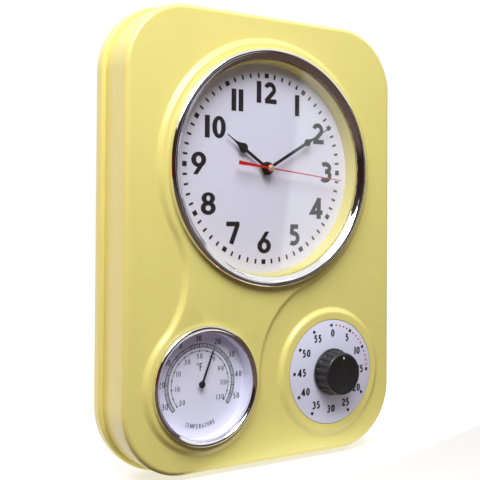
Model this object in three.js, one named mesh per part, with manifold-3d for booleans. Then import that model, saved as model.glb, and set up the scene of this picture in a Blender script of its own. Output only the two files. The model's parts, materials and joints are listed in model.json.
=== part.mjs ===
// A wall-hung kitchen timer: a two-tier moulded housing that carries a quartz clock, a bimetal
// thermometer and a spring-wound 60-minute timer with a bell.
//
// Every piece is modelled in a panel frame, in millimetres: x to the viewer's right, y up and z out of
// the wall towards the viewer. z = 0 is the wall plane and x = y = 0 is the middle of the housing.
// The exported group turns that frame so that +Z is up and +Y points into the wall.
import * as THREE from "three";
import { mergeVertices } from "three/addons/utils/BufferGeometryUtils.js";
import Module from "manifold-3d";

const wasm = await Module();
wasm.setup();

// ---------------------------------------------------------------- driving dimensions
const WIDTH = 246;
const HEIGHT = 338;
const TIER_RADIUS = 52; // corner radius of the wide rear tier
const STEP = 3.4; // how far the front shell stands inside the rear tier, on each side
const FRONT_Z = 41; // front panel
const SHOULDER_Z = 9.2; // where the front shell lands on the rear tier
const WALL = 2.4;
const RELIEF = 2.9; // height of the raised fields round the three dials
const FIELD_Z = FRONT_Z + RELIEF;
const GAP = 0.3; // clearance between neighbouring pieces

const CLOCK = new THREE.Vector2(0, 52);
const SMALL_DIAL_X = 56.8;
const SMALL_DIAL_Y = -103.8;
const THERMOMETER = new THREE.Vector2(-SMALL_DIAL_X, SMALL_DIAL_Y);
const TIMER = new THREE.Vector2(SMALL_DIAL_X, SMALL_DIAL_Y);

const CLOCK_FIELD_R = 97; // foot of the raised field round the clock
const SMALL_FIELD_R = 50; // foot of the raised fields round the small dials
const FIELD_SLOPE = 4.6; // width of a field's rounded edge
const LEFT_BLEND_R = 60; // hollow blends between the clock's field and the thermometer's
const RIGHT_BLEND_R = 65;

const CLOCK_BEZEL_R = 88.3;
const CLOCK_BEZEL_TOP_Z = 49.3;
const CLOCK_WINDOW_R = 80;
const DIAL_Z = 33.9; // face of the clock dial
const DIAL_WINDOW_R = 78.6; // where the recess wall meets the dial
const THERMOMETER_BEZEL_R = 42.3;
const THERMOMETER_BEZEL_TOP_Z = 47.5;
const THERMOMETER_CUP_R = 38.8;
const THERMOMETER_DIAL_Z = 36;
const TIMER_DISC_R = 39.8;
const TIMER_DISC_Z = 44; // face of the timer's disc
const KNOB_FRONT_Z = 59.2;

const HOUR_ANGLE = -56.5; // degrees clockwise from twelve, as the hands stand
const MINUTE_ANGLE = 59.8;
const SECOND_ANGLE = 96.3;
const POINTER_ANGLE = 21.4;

// ---------------------------------------------------------------- materials
const plastic = (color, roughness) => new THREE.MeshStandardMaterial({ color, roughness, metalness: 0 });
const metal = (color, roughness) => new THREE.MeshStandardMaterial({ color, roughness, metalness: 1 });
const YELLOW = plastic(0xe6da83, 0.38);
const WHITE = plastic(0xdcdcec, 0.5);
const BLACK = plastic(0x1c1c1e, 0.42);
const DARK_PLASTIC = plastic(0x2b2c30, 0.55);
const NATURAL_PLASTIC = plastic(0xe9e6da, 0.5);
const RED = plastic(0xc81414, 0.4);
const SLEEVE = plastic(0x3a3f46, 0.35);
const CLEAR = new THREE.MeshStandardMaterial({
  color: 0xf4f8fa,
  roughness: 0.05,
  metalness: 0,
  transparent: true,
  opacity: 0.2,
});
const BOARD_GREEN = plastic(0x2f6b3c, 0.6);
const CHROME = metal(0xdcdcdc, 0.08);
const STEEL = metal(0xb4b6ba, 0.3);
const BRASS = metal(0xc9a552, 0.3);
const COPPER = metal(0xb4683a, 0.35);

// ---------------------------------------------------------------- geometry helpers
const rad = THREE.MathUtils.degToRad;

// Signed volume of a closed mesh, used to turn an inside-out geometry round.
function signedVolume(geometry) {
  const g = geometry.index ? geometry.toNonIndexed() : geometry;
  const p = g.getAttribute("position");
  const [a, b, c] = [new THREE.Vector3(), new THREE.Vector3(), new THREE.Vector3()];
  let sum = 0;
  for (let i = 0; i < p.count; i += 3) {
    a.fromBufferAttribute(p, i);
    b.fromBufferAttribute(p, i + 1);
    c.fromBufferAttribute(p, i + 2);
    sum += a.dot(b.cross(c));
  }
  return sum / 6;
}

// Bare position data with merged vertices and faces that point out.
function closed(geometry) {
  const bare = new THREE.BufferGeometry();
  bare.setAttribute("position", geometry.getAttribute("position"));
  if (geometry.index) bare.setIndex(geometry.index);
  const merged = mergeVertices(bare, 1e-4);
  if (signedVolume(merged) < 0) {
    const index = merged.index.array;
    for (let i = 0; i < index.length; i += 3) {
      [index[i + 1], index[i + 2]] = [index[i + 2], index[i + 1]];
    }
  }
  return merged;
}

function manifoldOf(geometry) {
  const g = closed(geometry);
  return new wasm.Manifold(
    new wasm.Mesh({
      numProp: 3,
      vertProperties: new Float32Array(g.getAttribute("position").array),
      triVerts: new Uint32Array(g.index.array),
    }),
  );
}

function geometryOf(manifold) {
  const mesh = manifold.getMesh();
  const stride = mesh.numProp;
  const positions = new Float32Array(mesh.numVert * 3);
  for (let i = 0; i < mesh.numVert; i++) {
    positions.set(mesh.vertProperties.subarray(i * stride, i * stride + 3), i * 3);
  }
  const geometry = new THREE.BufferGeometry();
  geometry.setAttribute("position", new THREE.BufferAttribute(positions, 3));
  geometry.setIndex(new THREE.BufferAttribute(new Uint32Array(mesh.triVerts), 1));
  return geometry;
}

function join(...geometries) {
  return geometryOf(geometries.map(manifoldOf).reduce((a, b) => a.add(b)));
}

function cut(geometry, ...tools) {
  return geometryOf(tools.map(manifoldOf).reduce((a, b) => a.subtract(b), manifoldOf(geometry)));
}

function extrude(shape, z0, z1, curveSegments = 12) {
  const settings = { depth: z1 - z0, bevelEnabled: false, curveSegments };
  return new THREE.ExtrudeGeometry(shape, settings).translate(0, 0, z0);
}

function disc(radius, z0, z1, at = new THREE.Vector2(), segments = 24) {
  const geometry = new THREE.CylinderGeometry(radius, radius, z1 - z0, segments);
  return geometry.rotateX(Math.PI / 2).translate(at.x, at.y, (z0 + z1) / 2);
}

// A round tool longer than any piece is deep.
function bore(radius, at = new THREE.Vector2(), segments = 8) {
  return disc(radius, -5, 65, at, segments);
}

function block(x0, x1, y0, y1, z0, z1) {
  const geometry = new THREE.BoxGeometry(x1 - x0, y1 - y0, z1 - z0);
  return geometry.translate((x0 + x1) / 2, (y0 + y1) / 2, (z0 + z1) / 2);
}

// A turned piece: profile points are [radius, z].
function turned(profile, at = new THREE.Vector2(), segments = 32) {
  const points = profile.map(([r, z]) => new THREE.Vector2(r, z));
  return new THREE.LatheGeometry(points, segments).rotateX(Math.PI / 2).translate(at.x, at.y, 0);
}

function ring(outer, inner, z0, z1, at, segments = 32) {
  return turned([[inner, z0], [outer, z0], [outer, z1], [inner, z1], [inner, z0]], at, segments);
}

function roundedRectangle(width, height, radius) {
  const [x, y] = [width / 2 - radius, height / 2 - radius];
  const shape = new THREE.Shape();
  shape.absarc(x, y, radius, 0, Math.PI / 2, false);
  shape.absarc(-x, y, radius, Math.PI / 2, Math.PI, false);
  shape.absarc(-x, -y, radius, Math.PI, Math.PI * 1.5, false);
  shape.absarc(x, -y, radius, Math.PI * 1.5, Math.PI * 2, false);
  return shape;
}

function circleHole(radius, at = new THREE.Vector2()) {
  return new THREE.Path().absarc(at.x, at.y, radius, 0, Math.PI * 2, true);
}

// A point at a radius and a clock angle, in degrees clockwise from the top.
function onDial(centre, radius, degrees) {
  return new THREE.Vector2(
    centre.x + radius * Math.sin(rad(degrees)),
    centre.y + radius * Math.cos(rad(degrees)),
  );
}

function offset(centre, distance, degrees) {
  return new THREE.Vector2(
    centre.x + distance * Math.cos(rad(degrees)),
    centre.y + distance * Math.sin(rad(degrees)),
  );
}

const root = new THREE.Group();

function piece(name, geometry, material) {
  const mesh = new THREE.Mesh(geometry, material);
  mesh.name = name;
  root.add(mesh);
  return mesh;
}

// ---------------------------------------------------------------- raised fields
// Centre of the circle of radius r that touches two circles from outside, on the given side of the
// line from a to b (side = 1 is the left of that line).
function outsideTangent(a, radiusA, b, radiusB, r, side) {
  const d = a.distanceTo(b);
  const [p, q] = [radiusA + r, radiusB + r];
  const along = (p * p - q * q + d * d) / (2 * d);
  const across = Math.sqrt(p * p - along * along);
  const u = b.clone().sub(a).divideScalar(d);
  const normal = new THREE.Vector2(-u.y, u.x).multiplyScalar(side);
  return a.clone().addScaledVector(u, along).addScaledVector(normal, across);
}

function angleFrom(centre, point) {
  return Math.atan2(point.y - centre.y, point.x - centre.x);
}

// One field round the clock and the thermometer, with a hollow blend on each side. inset moves its
// whole outline inwards.
function mainField(inset) {
  const [clockR, smallR] = [CLOCK_FIELD_R - inset, SMALL_FIELD_R - inset];
  const right = outsideTangent(CLOCK, clockR, THERMOMETER, smallR, RIGHT_BLEND_R + inset, 1);
  const left = outsideTangent(CLOCK, clockR, THERMOMETER, smallR, LEFT_BLEND_R + inset, -1);
  const shape = new THREE.Shape();
  shape.absarc(CLOCK.x, CLOCK.y, clockR, angleFrom(CLOCK, right), angleFrom(CLOCK, left), false);
  shape.absarc(
    left.x,
    left.y,
    LEFT_BLEND_R + inset,
    angleFrom(left, CLOCK),
    angleFrom(left, THERMOMETER),
    true,
  );
  shape.absarc(
    THERMOMETER.x,
    THERMOMETER.y,
    smallR,
    angleFrom(THERMOMETER, left),
    angleFrom(THERMOMETER, right),
    false,
  );
  shape.absarc(
    right.x,
    right.y,
    RIGHT_BLEND_R + inset,
    angleFrom(right, THERMOMETER),
    angleFrom(right, CLOCK),
    true,
  );
  return shape;
}

function timerField(inset) {
  return new THREE.Shape().absarc(TIMER.x, TIMER.y, SMALL_FIELD_R - inset, 0, Math.PI * 2, false);
}

// A raised field from two steps that follow its rounded edge: [inset, height] as shares of the slope
// and the relief.
const FIELD_STEPS = [
  [0.28, 0.62],
  [0.85, 1],
];

function raisedField(outline) {
  const root = FRONT_Z - 1;
  return join(
    ...FIELD_STEPS.map(([inset, height]) =>
      extrude(outline(FIELD_SLOPE * inset), root, FRONT_Z + RELIEF * height, 8),
    ),
  );
}

// ---------------------------------------------------------------- housing
const SCREW_X = 92;
const SCREW_TOP_Y = 138;
const SCREW_FOOT_Y = -146;
const SCREW_POSTS = [
  new THREE.Vector2(-SCREW_X, SCREW_TOP_Y),
  new THREE.Vector2(SCREW_X, SCREW_TOP_Y),
  new THREE.Vector2(-SCREW_X, SCREW_FOOT_Y),
  new THREE.Vector2(SCREW_X, SCREW_FOOT_Y),
];
const SCREW_SEAT_Z = 12; // where the rear cover's screw wells meet the front shell's posts
const SCREW_POST_R = 4.2;
const SCREW_HOLE_R = 1.8;
const SCREW_WELL_R = 5.4;
const HOUSING_SCREW = { headR: 3.1, shankR: 1.4, headZ: 7, pointZ: 24 };

const CARRIER_POST_RING = 89; // radius at which the dial carrier's three posts stand
const CARRIER_POST_R = 3.6;
const CARRIER_POST_ANGLES = [0, 125, 235];
const CARRIER_SCREW_ANGLES = [125, 235]; // the post at the top is a plain locating peg
const CARRIER_Z = 31; // rear face of the dial carrier
const CARRIER_THICKNESS = 2.2;
const CARRIER_FRONT_Z = CARRIER_Z + CARRIER_THICKNESS;
const BUSH_R = 3.5; // threaded bush of the movement, which passes through carrier and dial
const CARRIER_SCREW = { headR: 2.4, shankR: 1, headZ: CARRIER_Z - 2, pointZ: 37.6 };

const EDGE_R = 4.8; // rounded front edge of the shell
const DIAL_WELL_WALL = 2.2;
const WINDOW_SLACK = 0.6; // clearance of the thermometer and of the timer disc in their seats
const DISC_SEAT_DEPTH = 0.9;
const MECHANISM_SCREW_RING = 15;
const MECHANISM_SCREW_ANGLES = [-45, 135];
const MECHANISM_BOSS_R = 4.6;
const MECHANISM_BOSS_Z = 38.2;
const MECHANISM_SCREW = { headR: 2.8, shankR: 1.4, headZ: 42.6, pointZ: 33.6 };
const HEAD_SEAT_Z = MECHANISM_SCREW.headZ - 2; // floor of a mechanism screw's counterbore
const SHAFT_HOLE_R = 5;

function frontShellBlank(inset, z0, z1, edge) {
  const [w, h] = [WIDTH - 2 * (STEP + inset), HEIGHT - 2 * (STEP + inset)];
  const radius = TIER_RADIUS - STEP - inset;
  const slices = [extrude(roundedRectangle(w, h, radius), z0, z1 - edge, 4)];
  const turns = 2;
  for (let i = 1; i <= turns && edge > 0; i++) {
    const a = (Math.PI / 2) * (i / turns);
    const pull = edge * (1 - Math.cos(a * 0.86));
    const outline = roundedRectangle(w - 2 * pull, h - 2 * pull, radius - pull);
    slices.push(extrude(outline, z0, z1 - edge + edge * Math.sin(a), 4));
  }
  return join(...slices);
}

function frontHousing() {
  const skin = cut(
    join(
      frontShellBlank(0, SHOULDER_Z + GAP, FRONT_Z, EDGE_R),
      raisedField(mainField),
      raisedField(timerField),
    ),
    frontShellBlank(WALL, SHOULDER_Z - 1, FRONT_Z - WALL, 0),
    extrude(timerField(FIELD_SLOPE + WALL), FRONT_Z - WALL - 1, FIELD_Z - WALL, 8),
  );
  const root = FRONT_Z - 1;
  const posts = SCREW_POSTS.map((at) => disc(SCREW_POST_R, SCREW_SEAT_Z + GAP, root, at, 8));
  const carrierPosts = CARRIER_POST_ANGLES.map((angle) => {
    const at = onDial(CLOCK, CARRIER_POST_RING, angle);
    return disc(CARRIER_POST_R, CARRIER_FRONT_Z + GAP, root, at, 8);
  });
  const mechanismScrews = MECHANISM_SCREW_ANGLES.map((angle) => onDial(TIMER, MECHANISM_SCREW_RING, angle));
  const bosses = mechanismScrews.map((at) =>
    disc(MECHANISM_BOSS_R, MECHANISM_BOSS_Z, FIELD_Z - WALL + 0.5, at, 8),
  );
  const dialWell = disc(CLOCK_WINDOW_R + DIAL_WELL_WALL, DIAL_Z + GAP, root, CLOCK, 40);
  const windowTool = turned(
    [
      [0, CARRIER_Z],
      [DIAL_WINDOW_R, CARRIER_Z],
      [DIAL_WINDOW_R, DIAL_Z + GAP],
      [CLOCK_WINDOW_R, FIELD_Z + 2],
      [0, FIELD_Z + 2],
    ],
    CLOCK,
    40,
  );
  const counterbores = mechanismScrews.map((at) =>
    disc(MECHANISM_SCREW.headR + 0.5, HEAD_SEAT_Z, FIELD_Z + 1, at, 8),
  );
  const carrierHoles = CARRIER_SCREW_ANGLES.map((angle) => {
    const at = onDial(CLOCK, CARRIER_POST_RING, angle);
    return disc(CARRIER_SCREW.shankR + 0.4, CARRIER_Z, CARRIER_SCREW.pointZ + 0.4, at, 8);
  });
  return cut(
    join(skin, ...posts, ...carrierPosts, ...bosses, dialWell),
    windowTool,
    bore(THERMOMETER_CUP_R + WINDOW_SLACK, THERMOMETER, 28),
    disc(TIMER_DISC_R + WINDOW_SLACK, FIELD_Z - DISC_SEAT_DEPTH, FIELD_Z + 1, TIMER, 28),
    bore(SHAFT_HOLE_R, TIMER, 12),
    ...mechanismScrews.map((at) => bore(SCREW_HOLE_R, at)),
    ...counterbores,
    ...SCREW_POSTS.map((at) => disc(SCREW_HOLE_R, SCREW_SEAT_Z - 2, HOUSING_SCREW.pointZ + 2, at, 8)),
    ...carrierHoles,
  );
}

const REAR_EDGE = 1.3; // eased edges of the rear tier
const RIM_HEIGHT = 4; // rim that stands inside the front shell
const RIM_WALL = 1.8;
const WINDOW_WIDTH = 66; // opening at the back that bares the movement and its battery bay
const WINDOW_HEIGHT = 62;
const WINDOW_RADIUS = 5;
const WINDOW_CENTRE = new THREE.Vector2(0, 49);
const WINDOW_FRAME_Z = 8;
const HANGER_Y = 137; // middle of the hanger's seat
const HANGER_HALF = 12.6;
const HANGER_THICKNESS = 0.8;
const KEYHOLE_Y = 136;
const KEYHOLE_R = 4.8;
const KEYHOLE_SLOT_HALF = 2.2;
const KEYHOLE_TOP_Y = 142.6;
const VENT_COUNT = 5;
const VENT_PITCH = 7;
const VENT_HALF_LENGTH = 16;
const VENT_HALF_WIDTH = 1.1;

function windowPrism(margin, z0, z1) {
  const [width, height] = [WINDOW_WIDTH + 2 * margin, WINDOW_HEIGHT + 2 * margin];
  const shape = roundedRectangle(width, height, WINDOW_RADIUS + margin);
  return extrude(shape, z0, z1, 2).translate(WINDOW_CENTRE.x, WINDOW_CENTRE.y, 0);
}

// Outline of the rear tier, moved inwards by inset.
function tierOutline(inset) {
  return roundedRectangle(WIDTH - 2 * inset, HEIGHT - 2 * inset, TIER_RADIUS - inset);
}

function rearHousing() {
  const rim = STEP + WALL + GAP;
  const blank = join(
    extrude(tierOutline(0), REAR_EDGE, SHOULDER_Z - REAR_EDGE, 4),
    extrude(tierOutline(REAR_EDGE), 0, SHOULDER_Z, 4),
    extrude(tierOutline(rim), SHOULDER_Z - 1, SHOULDER_Z + RIM_HEIGHT, 3),
  );
  const cavity = extrude(tierOutline(rim + RIM_WALL), WALL, SHOULDER_Z + RIM_HEIGHT + 1, 3);
  const wells = SCREW_POSTS.map((at) => disc(SCREW_WELL_R, 0, SCREW_SEAT_Z, at, 10));
  const wellBores = SCREW_POSTS.map((at) => disc(SCREW_WELL_R - 1.4, -1, SCREW_SEAT_Z - WALL, at, 10));
  const vents = Array.from({ length: VENT_COUNT }, (_, i) => {
    const y = TIMER.y + (i - (VENT_COUNT - 1) / 2) * VENT_PITCH;
    const [x0, x1] = [TIMER.x - VENT_HALF_LENGTH, TIMER.x + VENT_HALF_LENGTH];
    return block(x0, x1, y - VENT_HALF_WIDTH, y + VENT_HALF_WIDTH, -1, WALL + 1);
  });
  const hangerSeat = block(-13, 13, HANGER_Y - 17, HANGER_Y + 9, -1, HANGER_THICKNESS + GAP);
  const nailRoom = block(-8, 8, HANGER_Y - 7, HANGER_Y + 6, -1, WALL + 1);
  return cut(
    join(cut(blank, cavity), ...wells, windowPrism(2, 0, WINDOW_FRAME_Z)),
    ...wellBores,
    ...SCREW_POSTS.map((at) => bore(SCREW_HOLE_R + 0.1, at)),
    windowPrism(0, -1, WINDOW_FRAME_Z + 1),
    ...vents,
    hangerSeat,
    nailRoom,
  );
}

// Sheet-steel plate with the keyhole that drops over a nail or a screw in the wall.
function hangerPlate() {
  const [z0, z1] = [0.1, 0.1 + HANGER_THICKNESS];
  const middle = HANGER_Y - 4;
  const plate = block(-HANGER_HALF, HANGER_HALF, middle - HANGER_HALF, middle + HANGER_HALF, z0, z1);
  const slot = block(-KEYHOLE_SLOT_HALF, KEYHOLE_SLOT_HALF, KEYHOLE_Y, KEYHOLE_TOP_Y, -1, z1 + 1);
  const stakeHoles = [-10.4, 10.4].map((x) => bore(1.1, new THREE.Vector2(x, HANGER_Y - 13), 10));
  return cut(plate, bore(KEYHOLE_R, new THREE.Vector2(0, KEYHOLE_Y), 20), slot, ...stakeHoles);
}

// Pan-head screw with a cross recess, driven from its head to its point.
function screw(at, { headR, shankR, headZ, pointZ }) {
  const into = Math.sign(pointZ - headZ);
  const headHeight = headR * 0.6;
  const body = turned(
    [
      [0, headZ],
      [headR * 0.7, headZ],
      [headR, headZ + into * headHeight * 0.5],
      [headR, headZ + into * headHeight],
      [shankR, headZ + into * headHeight],
      [shankR, pointZ - into * shankR],
      [0, pointZ],
    ],
    at,
    8,
  );
  const slot = headR * 0.62;
  const [z0, z1] = [headZ - into, headZ + into * headHeight * 0.45].sort((a, b) => a - b);
  return cut(
    body,
    block(at.x - slot, at.x + slot, at.y - 0.3, at.y + 0.3, z0, z1),
    block(at.x - 0.3, at.x + 0.3, at.y - slot, at.y + slot, z0, z1),
  );
}

piece("front_housing", frontHousing(), YELLOW);
piece("rear_housing", rearHousing(), YELLOW);
piece("hanger_plate", hangerPlate(), STEEL);
SCREW_POSTS.forEach((at, i) => piece(`housing_screw_${i + 1}`, screw(at, HOUSING_SCREW), STEEL));

// ---------------------------------------------------------------- clock front
const LENS_Z = FIELD_Z + GAP;
const LENS_THICKNESS = 1.4;
const LENS_R = 84.2;

// Section of a bezel: an outer bead that falls inwards over the lens it holds.
function bezelProfile(outer, inner, lensR, z0, lensTop, top) {
  const rise = top - z0;
  return [
    [lensR + GAP, z0],
    [outer, z0],
    [outer - (outer - inner) * 0.06, z0 + rise * 0.6],
    [outer - (outer - inner) * 0.34, top],
    [inner, lensTop + GAP * 2],
    [inner, lensTop + GAP],
    [lensR + GAP, lensTop + GAP],
    [lensR + GAP, z0],
  ];
}

const LENS_TOP_Z = LENS_Z + LENS_THICKNESS;
piece(
  "clock_bezel",
  turned(
    bezelProfile(CLOCK_BEZEL_R, CLOCK_WINDOW_R + 0.2, LENS_R, LENS_Z, LENS_TOP_Z, CLOCK_BEZEL_TOP_Z),
    CLOCK,
    40,
  ),
  CHROME,
);
piece("clock_lens", disc(LENS_R, LENS_Z, LENS_TOP_Z, CLOCK, 40), CLEAR);
piece("clock_dial", ring(81, 5, DIAL_Z - 0.4, DIAL_Z, CLOCK, 40), WHITE);

function dialCarrier() {
  const plate = disc(84, CARRIER_Z, CARRIER_FRONT_Z, CLOCK, 36);
  const places = CARRIER_POST_ANGLES.map((angle) => onDial(CLOCK, CARRIER_POST_RING, angle));
  const ears = places.map((at) => disc(6, CARRIER_Z, CARRIER_FRONT_Z, at, 10));
  return cut(join(plate, ...ears), bore(BUSH_R + 0.6, CLOCK, 12), ...places.map((at) => bore(1.7, at)));
}
piece("dial_carrier", dialCarrier(), NATURAL_PLASTIC);
CARRIER_SCREW_ANGLES.forEach((angle, i) => {
  const at = onDial(CLOCK, CARRIER_POST_RING, angle);
  piece(`carrier_screw_${i + 1}`, screw(at, CARRIER_SCREW), STEEL);
});

// A hand drawn pointing up from its pivot: hub, stem, drop-shaped bulb and long tip.
const BULB_SHOULDER = Math.PI * 0.12;

function handShape({ length, stem, bulbAt, bulbR, tip, hubR, boreR }) {
  const shape = new THREE.Shape();
  const quarter = Math.PI / 2;
  const hubHalf = Math.asin(stem / 2 / hubR);
  const bulbHalf = Math.asin(Math.min(stem / 2 / bulbR, 1));
  const shoulderX = bulbR * Math.cos(BULB_SHOULDER);
  const shoulderY = bulbAt + bulbR * Math.sin(BULB_SHOULDER);
  const waistY = bulbAt + bulbR * 2.2;
  shape.absarc(0, 0, hubR, quarter + hubHalf, quarter - hubHalf + Math.PI * 2, false);
  shape.absarc(0, bulbAt, bulbR, -quarter + bulbHalf, BULB_SHOULDER, false);
  shape.quadraticCurveTo(tip * 1.1, waistY, tip / 2, length);
  shape.lineTo(-tip / 2, length);
  shape.quadraticCurveTo(-tip * 1.1, waistY, -shoulderX, shoulderY);
  shape.absarc(0, bulbAt, bulbR, Math.PI - BULB_SHOULDER, Math.PI + quarter - bulbHalf, false);
  shape.holes.push(circleHole(boreR));
  return shape;
}

function placedHand(shape, z, angle) {
  const geometry = extrude(shape, z, z + HAND_THICKNESS, 5);
  return geometry.rotateZ(-rad(angle)).translate(CLOCK.x, CLOCK.y, 0);
}

const HAND_THICKNESS = 0.5;
const HOUR_HAND_Z = 36.9;
const MINUTE_HAND_Z = 39.2;
const SECOND_HAND_Z = 41.4;
const HOUR_HAND = { length: 42.2, stem: 2.3, bulbAt: 25.5, bulbR: 3.8, tip: 1, hubR: 5.4, boreR: 2.6 };
const MINUTE_HAND = { length: 68, stem: 2.4, bulbAt: 41.6, bulbR: 2.9, tip: 0.9, hubR: 4.4, boreR: 1.65 };
piece("hour_hand", placedHand(handShape(HOUR_HAND), HOUR_HAND_Z, HOUR_ANGLE), BLACK);
piece("minute_hand", placedHand(handShape(MINUTE_HAND), MINUTE_HAND_Z, MINUTE_ANGLE), BLACK);

function secondHand() {
  const blade = new THREE.Shape([
    new THREE.Vector2(-0.5, 0),
    new THREE.Vector2(-1.65, -28.7),
    new THREE.Vector2(1.65, -28.7),
    new THREE.Vector2(0.5, 0),
    new THREE.Vector2(0.35, 67.3),
    new THREE.Vector2(-0.35, 67.3),
  ]);
  const hub = disc(3.1, SECOND_HAND_Z - 1, SECOND_HAND_Z + 2, new THREE.Vector2(), 20);
  const socket = disc(0.85, SECOND_HAND_Z - 2, SECOND_HAND_Z + 1.2, new THREE.Vector2(), 12);
  const hand = cut(join(extrude(blade, SECOND_HAND_Z, SECOND_HAND_Z + 0.4), hub), socket);
  return hand.rotateZ(-rad(SECOND_ANGLE)).translate(CLOCK.x, CLOCK.y, 0);
}
piece("second_hand", secondHand(), RED);

// ---------------------------------------------------------------- gears
// Gear outline with pointed teeth, one of them centred on the angle toothAt, in degrees. The pointed
// form leaves running clearance all round each tooth.
function gearShape(teeth, module, toothAt, boreR) {
  const pitchR = (module * teeth) / 2;
  const [tipR, rootR] = [pitchR + 0.75 * module, pitchR - 1.15 * module];
  const step = (Math.PI * 2) / teeth;
  const points = [];
  for (let i = 0; i < teeth; i++) {
    const a = rad(toothAt) + i * step;
    points.push(new THREE.Vector2(tipR * Math.cos(a), tipR * Math.sin(a)));
    points.push(new THREE.Vector2(rootR * Math.cos(a + step / 2), rootR * Math.sin(a + step / 2)));
  }
  const shape = new THREE.Shape(points);
  if (boreR) shape.holes.push(circleHole(boreR));
  return shape;
}

// The gear on its arbor at a place, between two heights.
function gear(at, teeth, module, toothAt, z0, z1, boreR = 0) {
  return extrude(gearShape(teeth, module, toothAt, boreR), z0, z1, 5).translate(at.x, at.y, 0);
}

// toothAt for a follower that meshes with a driver which has a tooth pointing at it.
function gapTowards(degreesToDriver, teeth) {
  return degreesToDriver + 180 / teeth;
}

// ---------------------------------------------------------------- quartz movement
const MOVEMENT_HALF = 28;
const MOVEMENT_BACK_Z = 14.2;
const MOVEMENT_FRONT_Z = 30.7;
const CASE_WALL = 1.3;
const CASE_BACK_Z = MOVEMENT_BACK_Z + 1.6; // open rim of the movement's case
const BATTERY_Y = CLOCK.y - 18.6;
const BATTERY_Z = 22.2;
const BATTERY_R = 7.1;
const BATTERY_HALF = 23;

const SECOND_TEETH = 40;
const FIFTH_PINION_TEETH = 8;
const FIFTH_TEETH = 36;
const ROTOR_TEETH = 6;
const SECOND_PINION_TEETH = 6;
const THIRD_TEETH = 45;
const THIRD_PINION_TEETH = 6;
const CENTRE_TEETH = 48;
const CANNON_TEETH = 10;
const MOTION_TEETH = 30;
const MOTION_PINION_TEETH = 8;
const HOUR_TEETH = 32;
const SET_TEETH = 12;
const SECONDS_MODULE = 0.36;
const MOTION_MODULE = 0.4;

const FIFTH_DIRECTION = 90;
const ROTOR_DIRECTION = 45;
const THIRD_DIRECTION = 150;
const MOTION_DIRECTION = 30;
const SET_DIRECTION = -20;
const FIFTH_DISTANCE = (SECONDS_MODULE * (SECOND_TEETH + FIFTH_PINION_TEETH)) / 2;
const ROTOR_DISTANCE = (SECONDS_MODULE * (FIFTH_TEETH + ROTOR_TEETH)) / 2;
const THIRD_DISTANCE = (SECONDS_MODULE * (THIRD_TEETH + SECOND_PINION_TEETH)) / 2;
const CENTRE_MODULE = (2 * THIRD_DISTANCE) / (CENTRE_TEETH + THIRD_PINION_TEETH);
const MOTION_DISTANCE = (MOTION_MODULE * (CANNON_TEETH + MOTION_TEETH)) / 2;
const SET_DISTANCE = (MOTION_MODULE * (MOTION_TEETH + SET_TEETH)) / 2;
const FIFTH = offset(CLOCK, FIFTH_DISTANCE, FIFTH_DIRECTION);
const ROTOR = offset(FIFTH, ROTOR_DISTANCE, ROTOR_DIRECTION);
const THIRD = offset(CLOCK, THIRD_DISTANCE, THIRD_DIRECTION);
const MOTION = offset(CLOCK, MOTION_DISTANCE, MOTION_DIRECTION);
const SETTER = offset(MOTION, SET_DISTANCE, SET_DIRECTION);

function movementCase() {
  const [outer, inner] = [MOVEMENT_HALF, MOVEMENT_HALF - CASE_WALL];
  const box = extrude(roundedRectangle(2 * outer, 2 * outer, 3), CASE_BACK_Z, MOVEMENT_FRONT_Z, 2);
  const cavity = extrude(roundedRectangle(2 * inner, 2 * inner, 2), 0, MOVEMENT_FRONT_Z - CASE_WALL, 2);
  const shell = cut(box, cavity).translate(CLOCK.x, CLOCK.y, 0);
  const bush = disc(BUSH_R, MOVEMENT_FRONT_Z - 1, 36.2, CLOCK, 20);
  const bayTop = BATTERY_Y + 8;
  const half = inner + 0.5;
  const wall = block(-half, half, bayTop, bayTop + 1, CASE_BACK_Z, MOVEMENT_FRONT_Z - 1);
  return cut(join(shell, bush, wall), disc(2.6, CASE_BACK_Z, 40, CLOCK, 20));
}

function movementCover() {
  const outline = roundedRectangle(2 * MOVEMENT_HALF, 2 * MOVEMENT_HALF, 3);
  const plate = extrude(outline, MOVEMENT_BACK_Z, MOVEMENT_BACK_Z + 1.3, 2);
  const [x, y] = [BATTERY_HALF + 1, BATTERY_R + 0.5];
  return cut(
    plate.translate(CLOCK.x, CLOCK.y, 0),
    block(-x, x, BATTERY_Y - y, BATTERY_Y + y, 0, MOVEMENT_FRONT_Z),
    bore(1.6, SETTER, 12),
  );
}

function battery() {
  const profile = [
    [0, -BATTERY_HALF],
    [BATTERY_R, -BATTERY_HALF],
    [BATTERY_R, BATTERY_HALF - 1.6],
    [2.7, BATTERY_HALF - 1.6],
    [2.7, BATTERY_HALF],
    [0, BATTERY_HALF],
  ];
  return turned(profile, new THREE.Vector2(), 20)
    .rotateY(Math.PI / 2)
    .translate(0, BATTERY_Y, BATTERY_Z);
}

const COIL_X = -12;
const COIL_Y = CLOCK.y + 21;
const COIL_HALF = 11;
const STATOR_Z = [21.9, 23.1];

// Bobbin with its winding.
function coil() {
  const [core, winding, flange, cheek] = [2, 3.9, 4.6, COIL_HALF - 1];
  const profile = [
    [core, -COIL_HALF],
    [flange, -COIL_HALF],
    [flange, -cheek],
    [winding, -cheek],
    [winding, cheek],
    [flange, cheek],
    [flange, COIL_HALF],
    [core, COIL_HALF],
    [core, -COIL_HALF],
  ];
  return turned(profile, new THREE.Vector2(), 16)
    .rotateY(Math.PI / 2)
    .translate(COIL_X, COIL_Y, (STATOR_Z[0] + STATOR_Z[1]) / 2);
}

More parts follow.
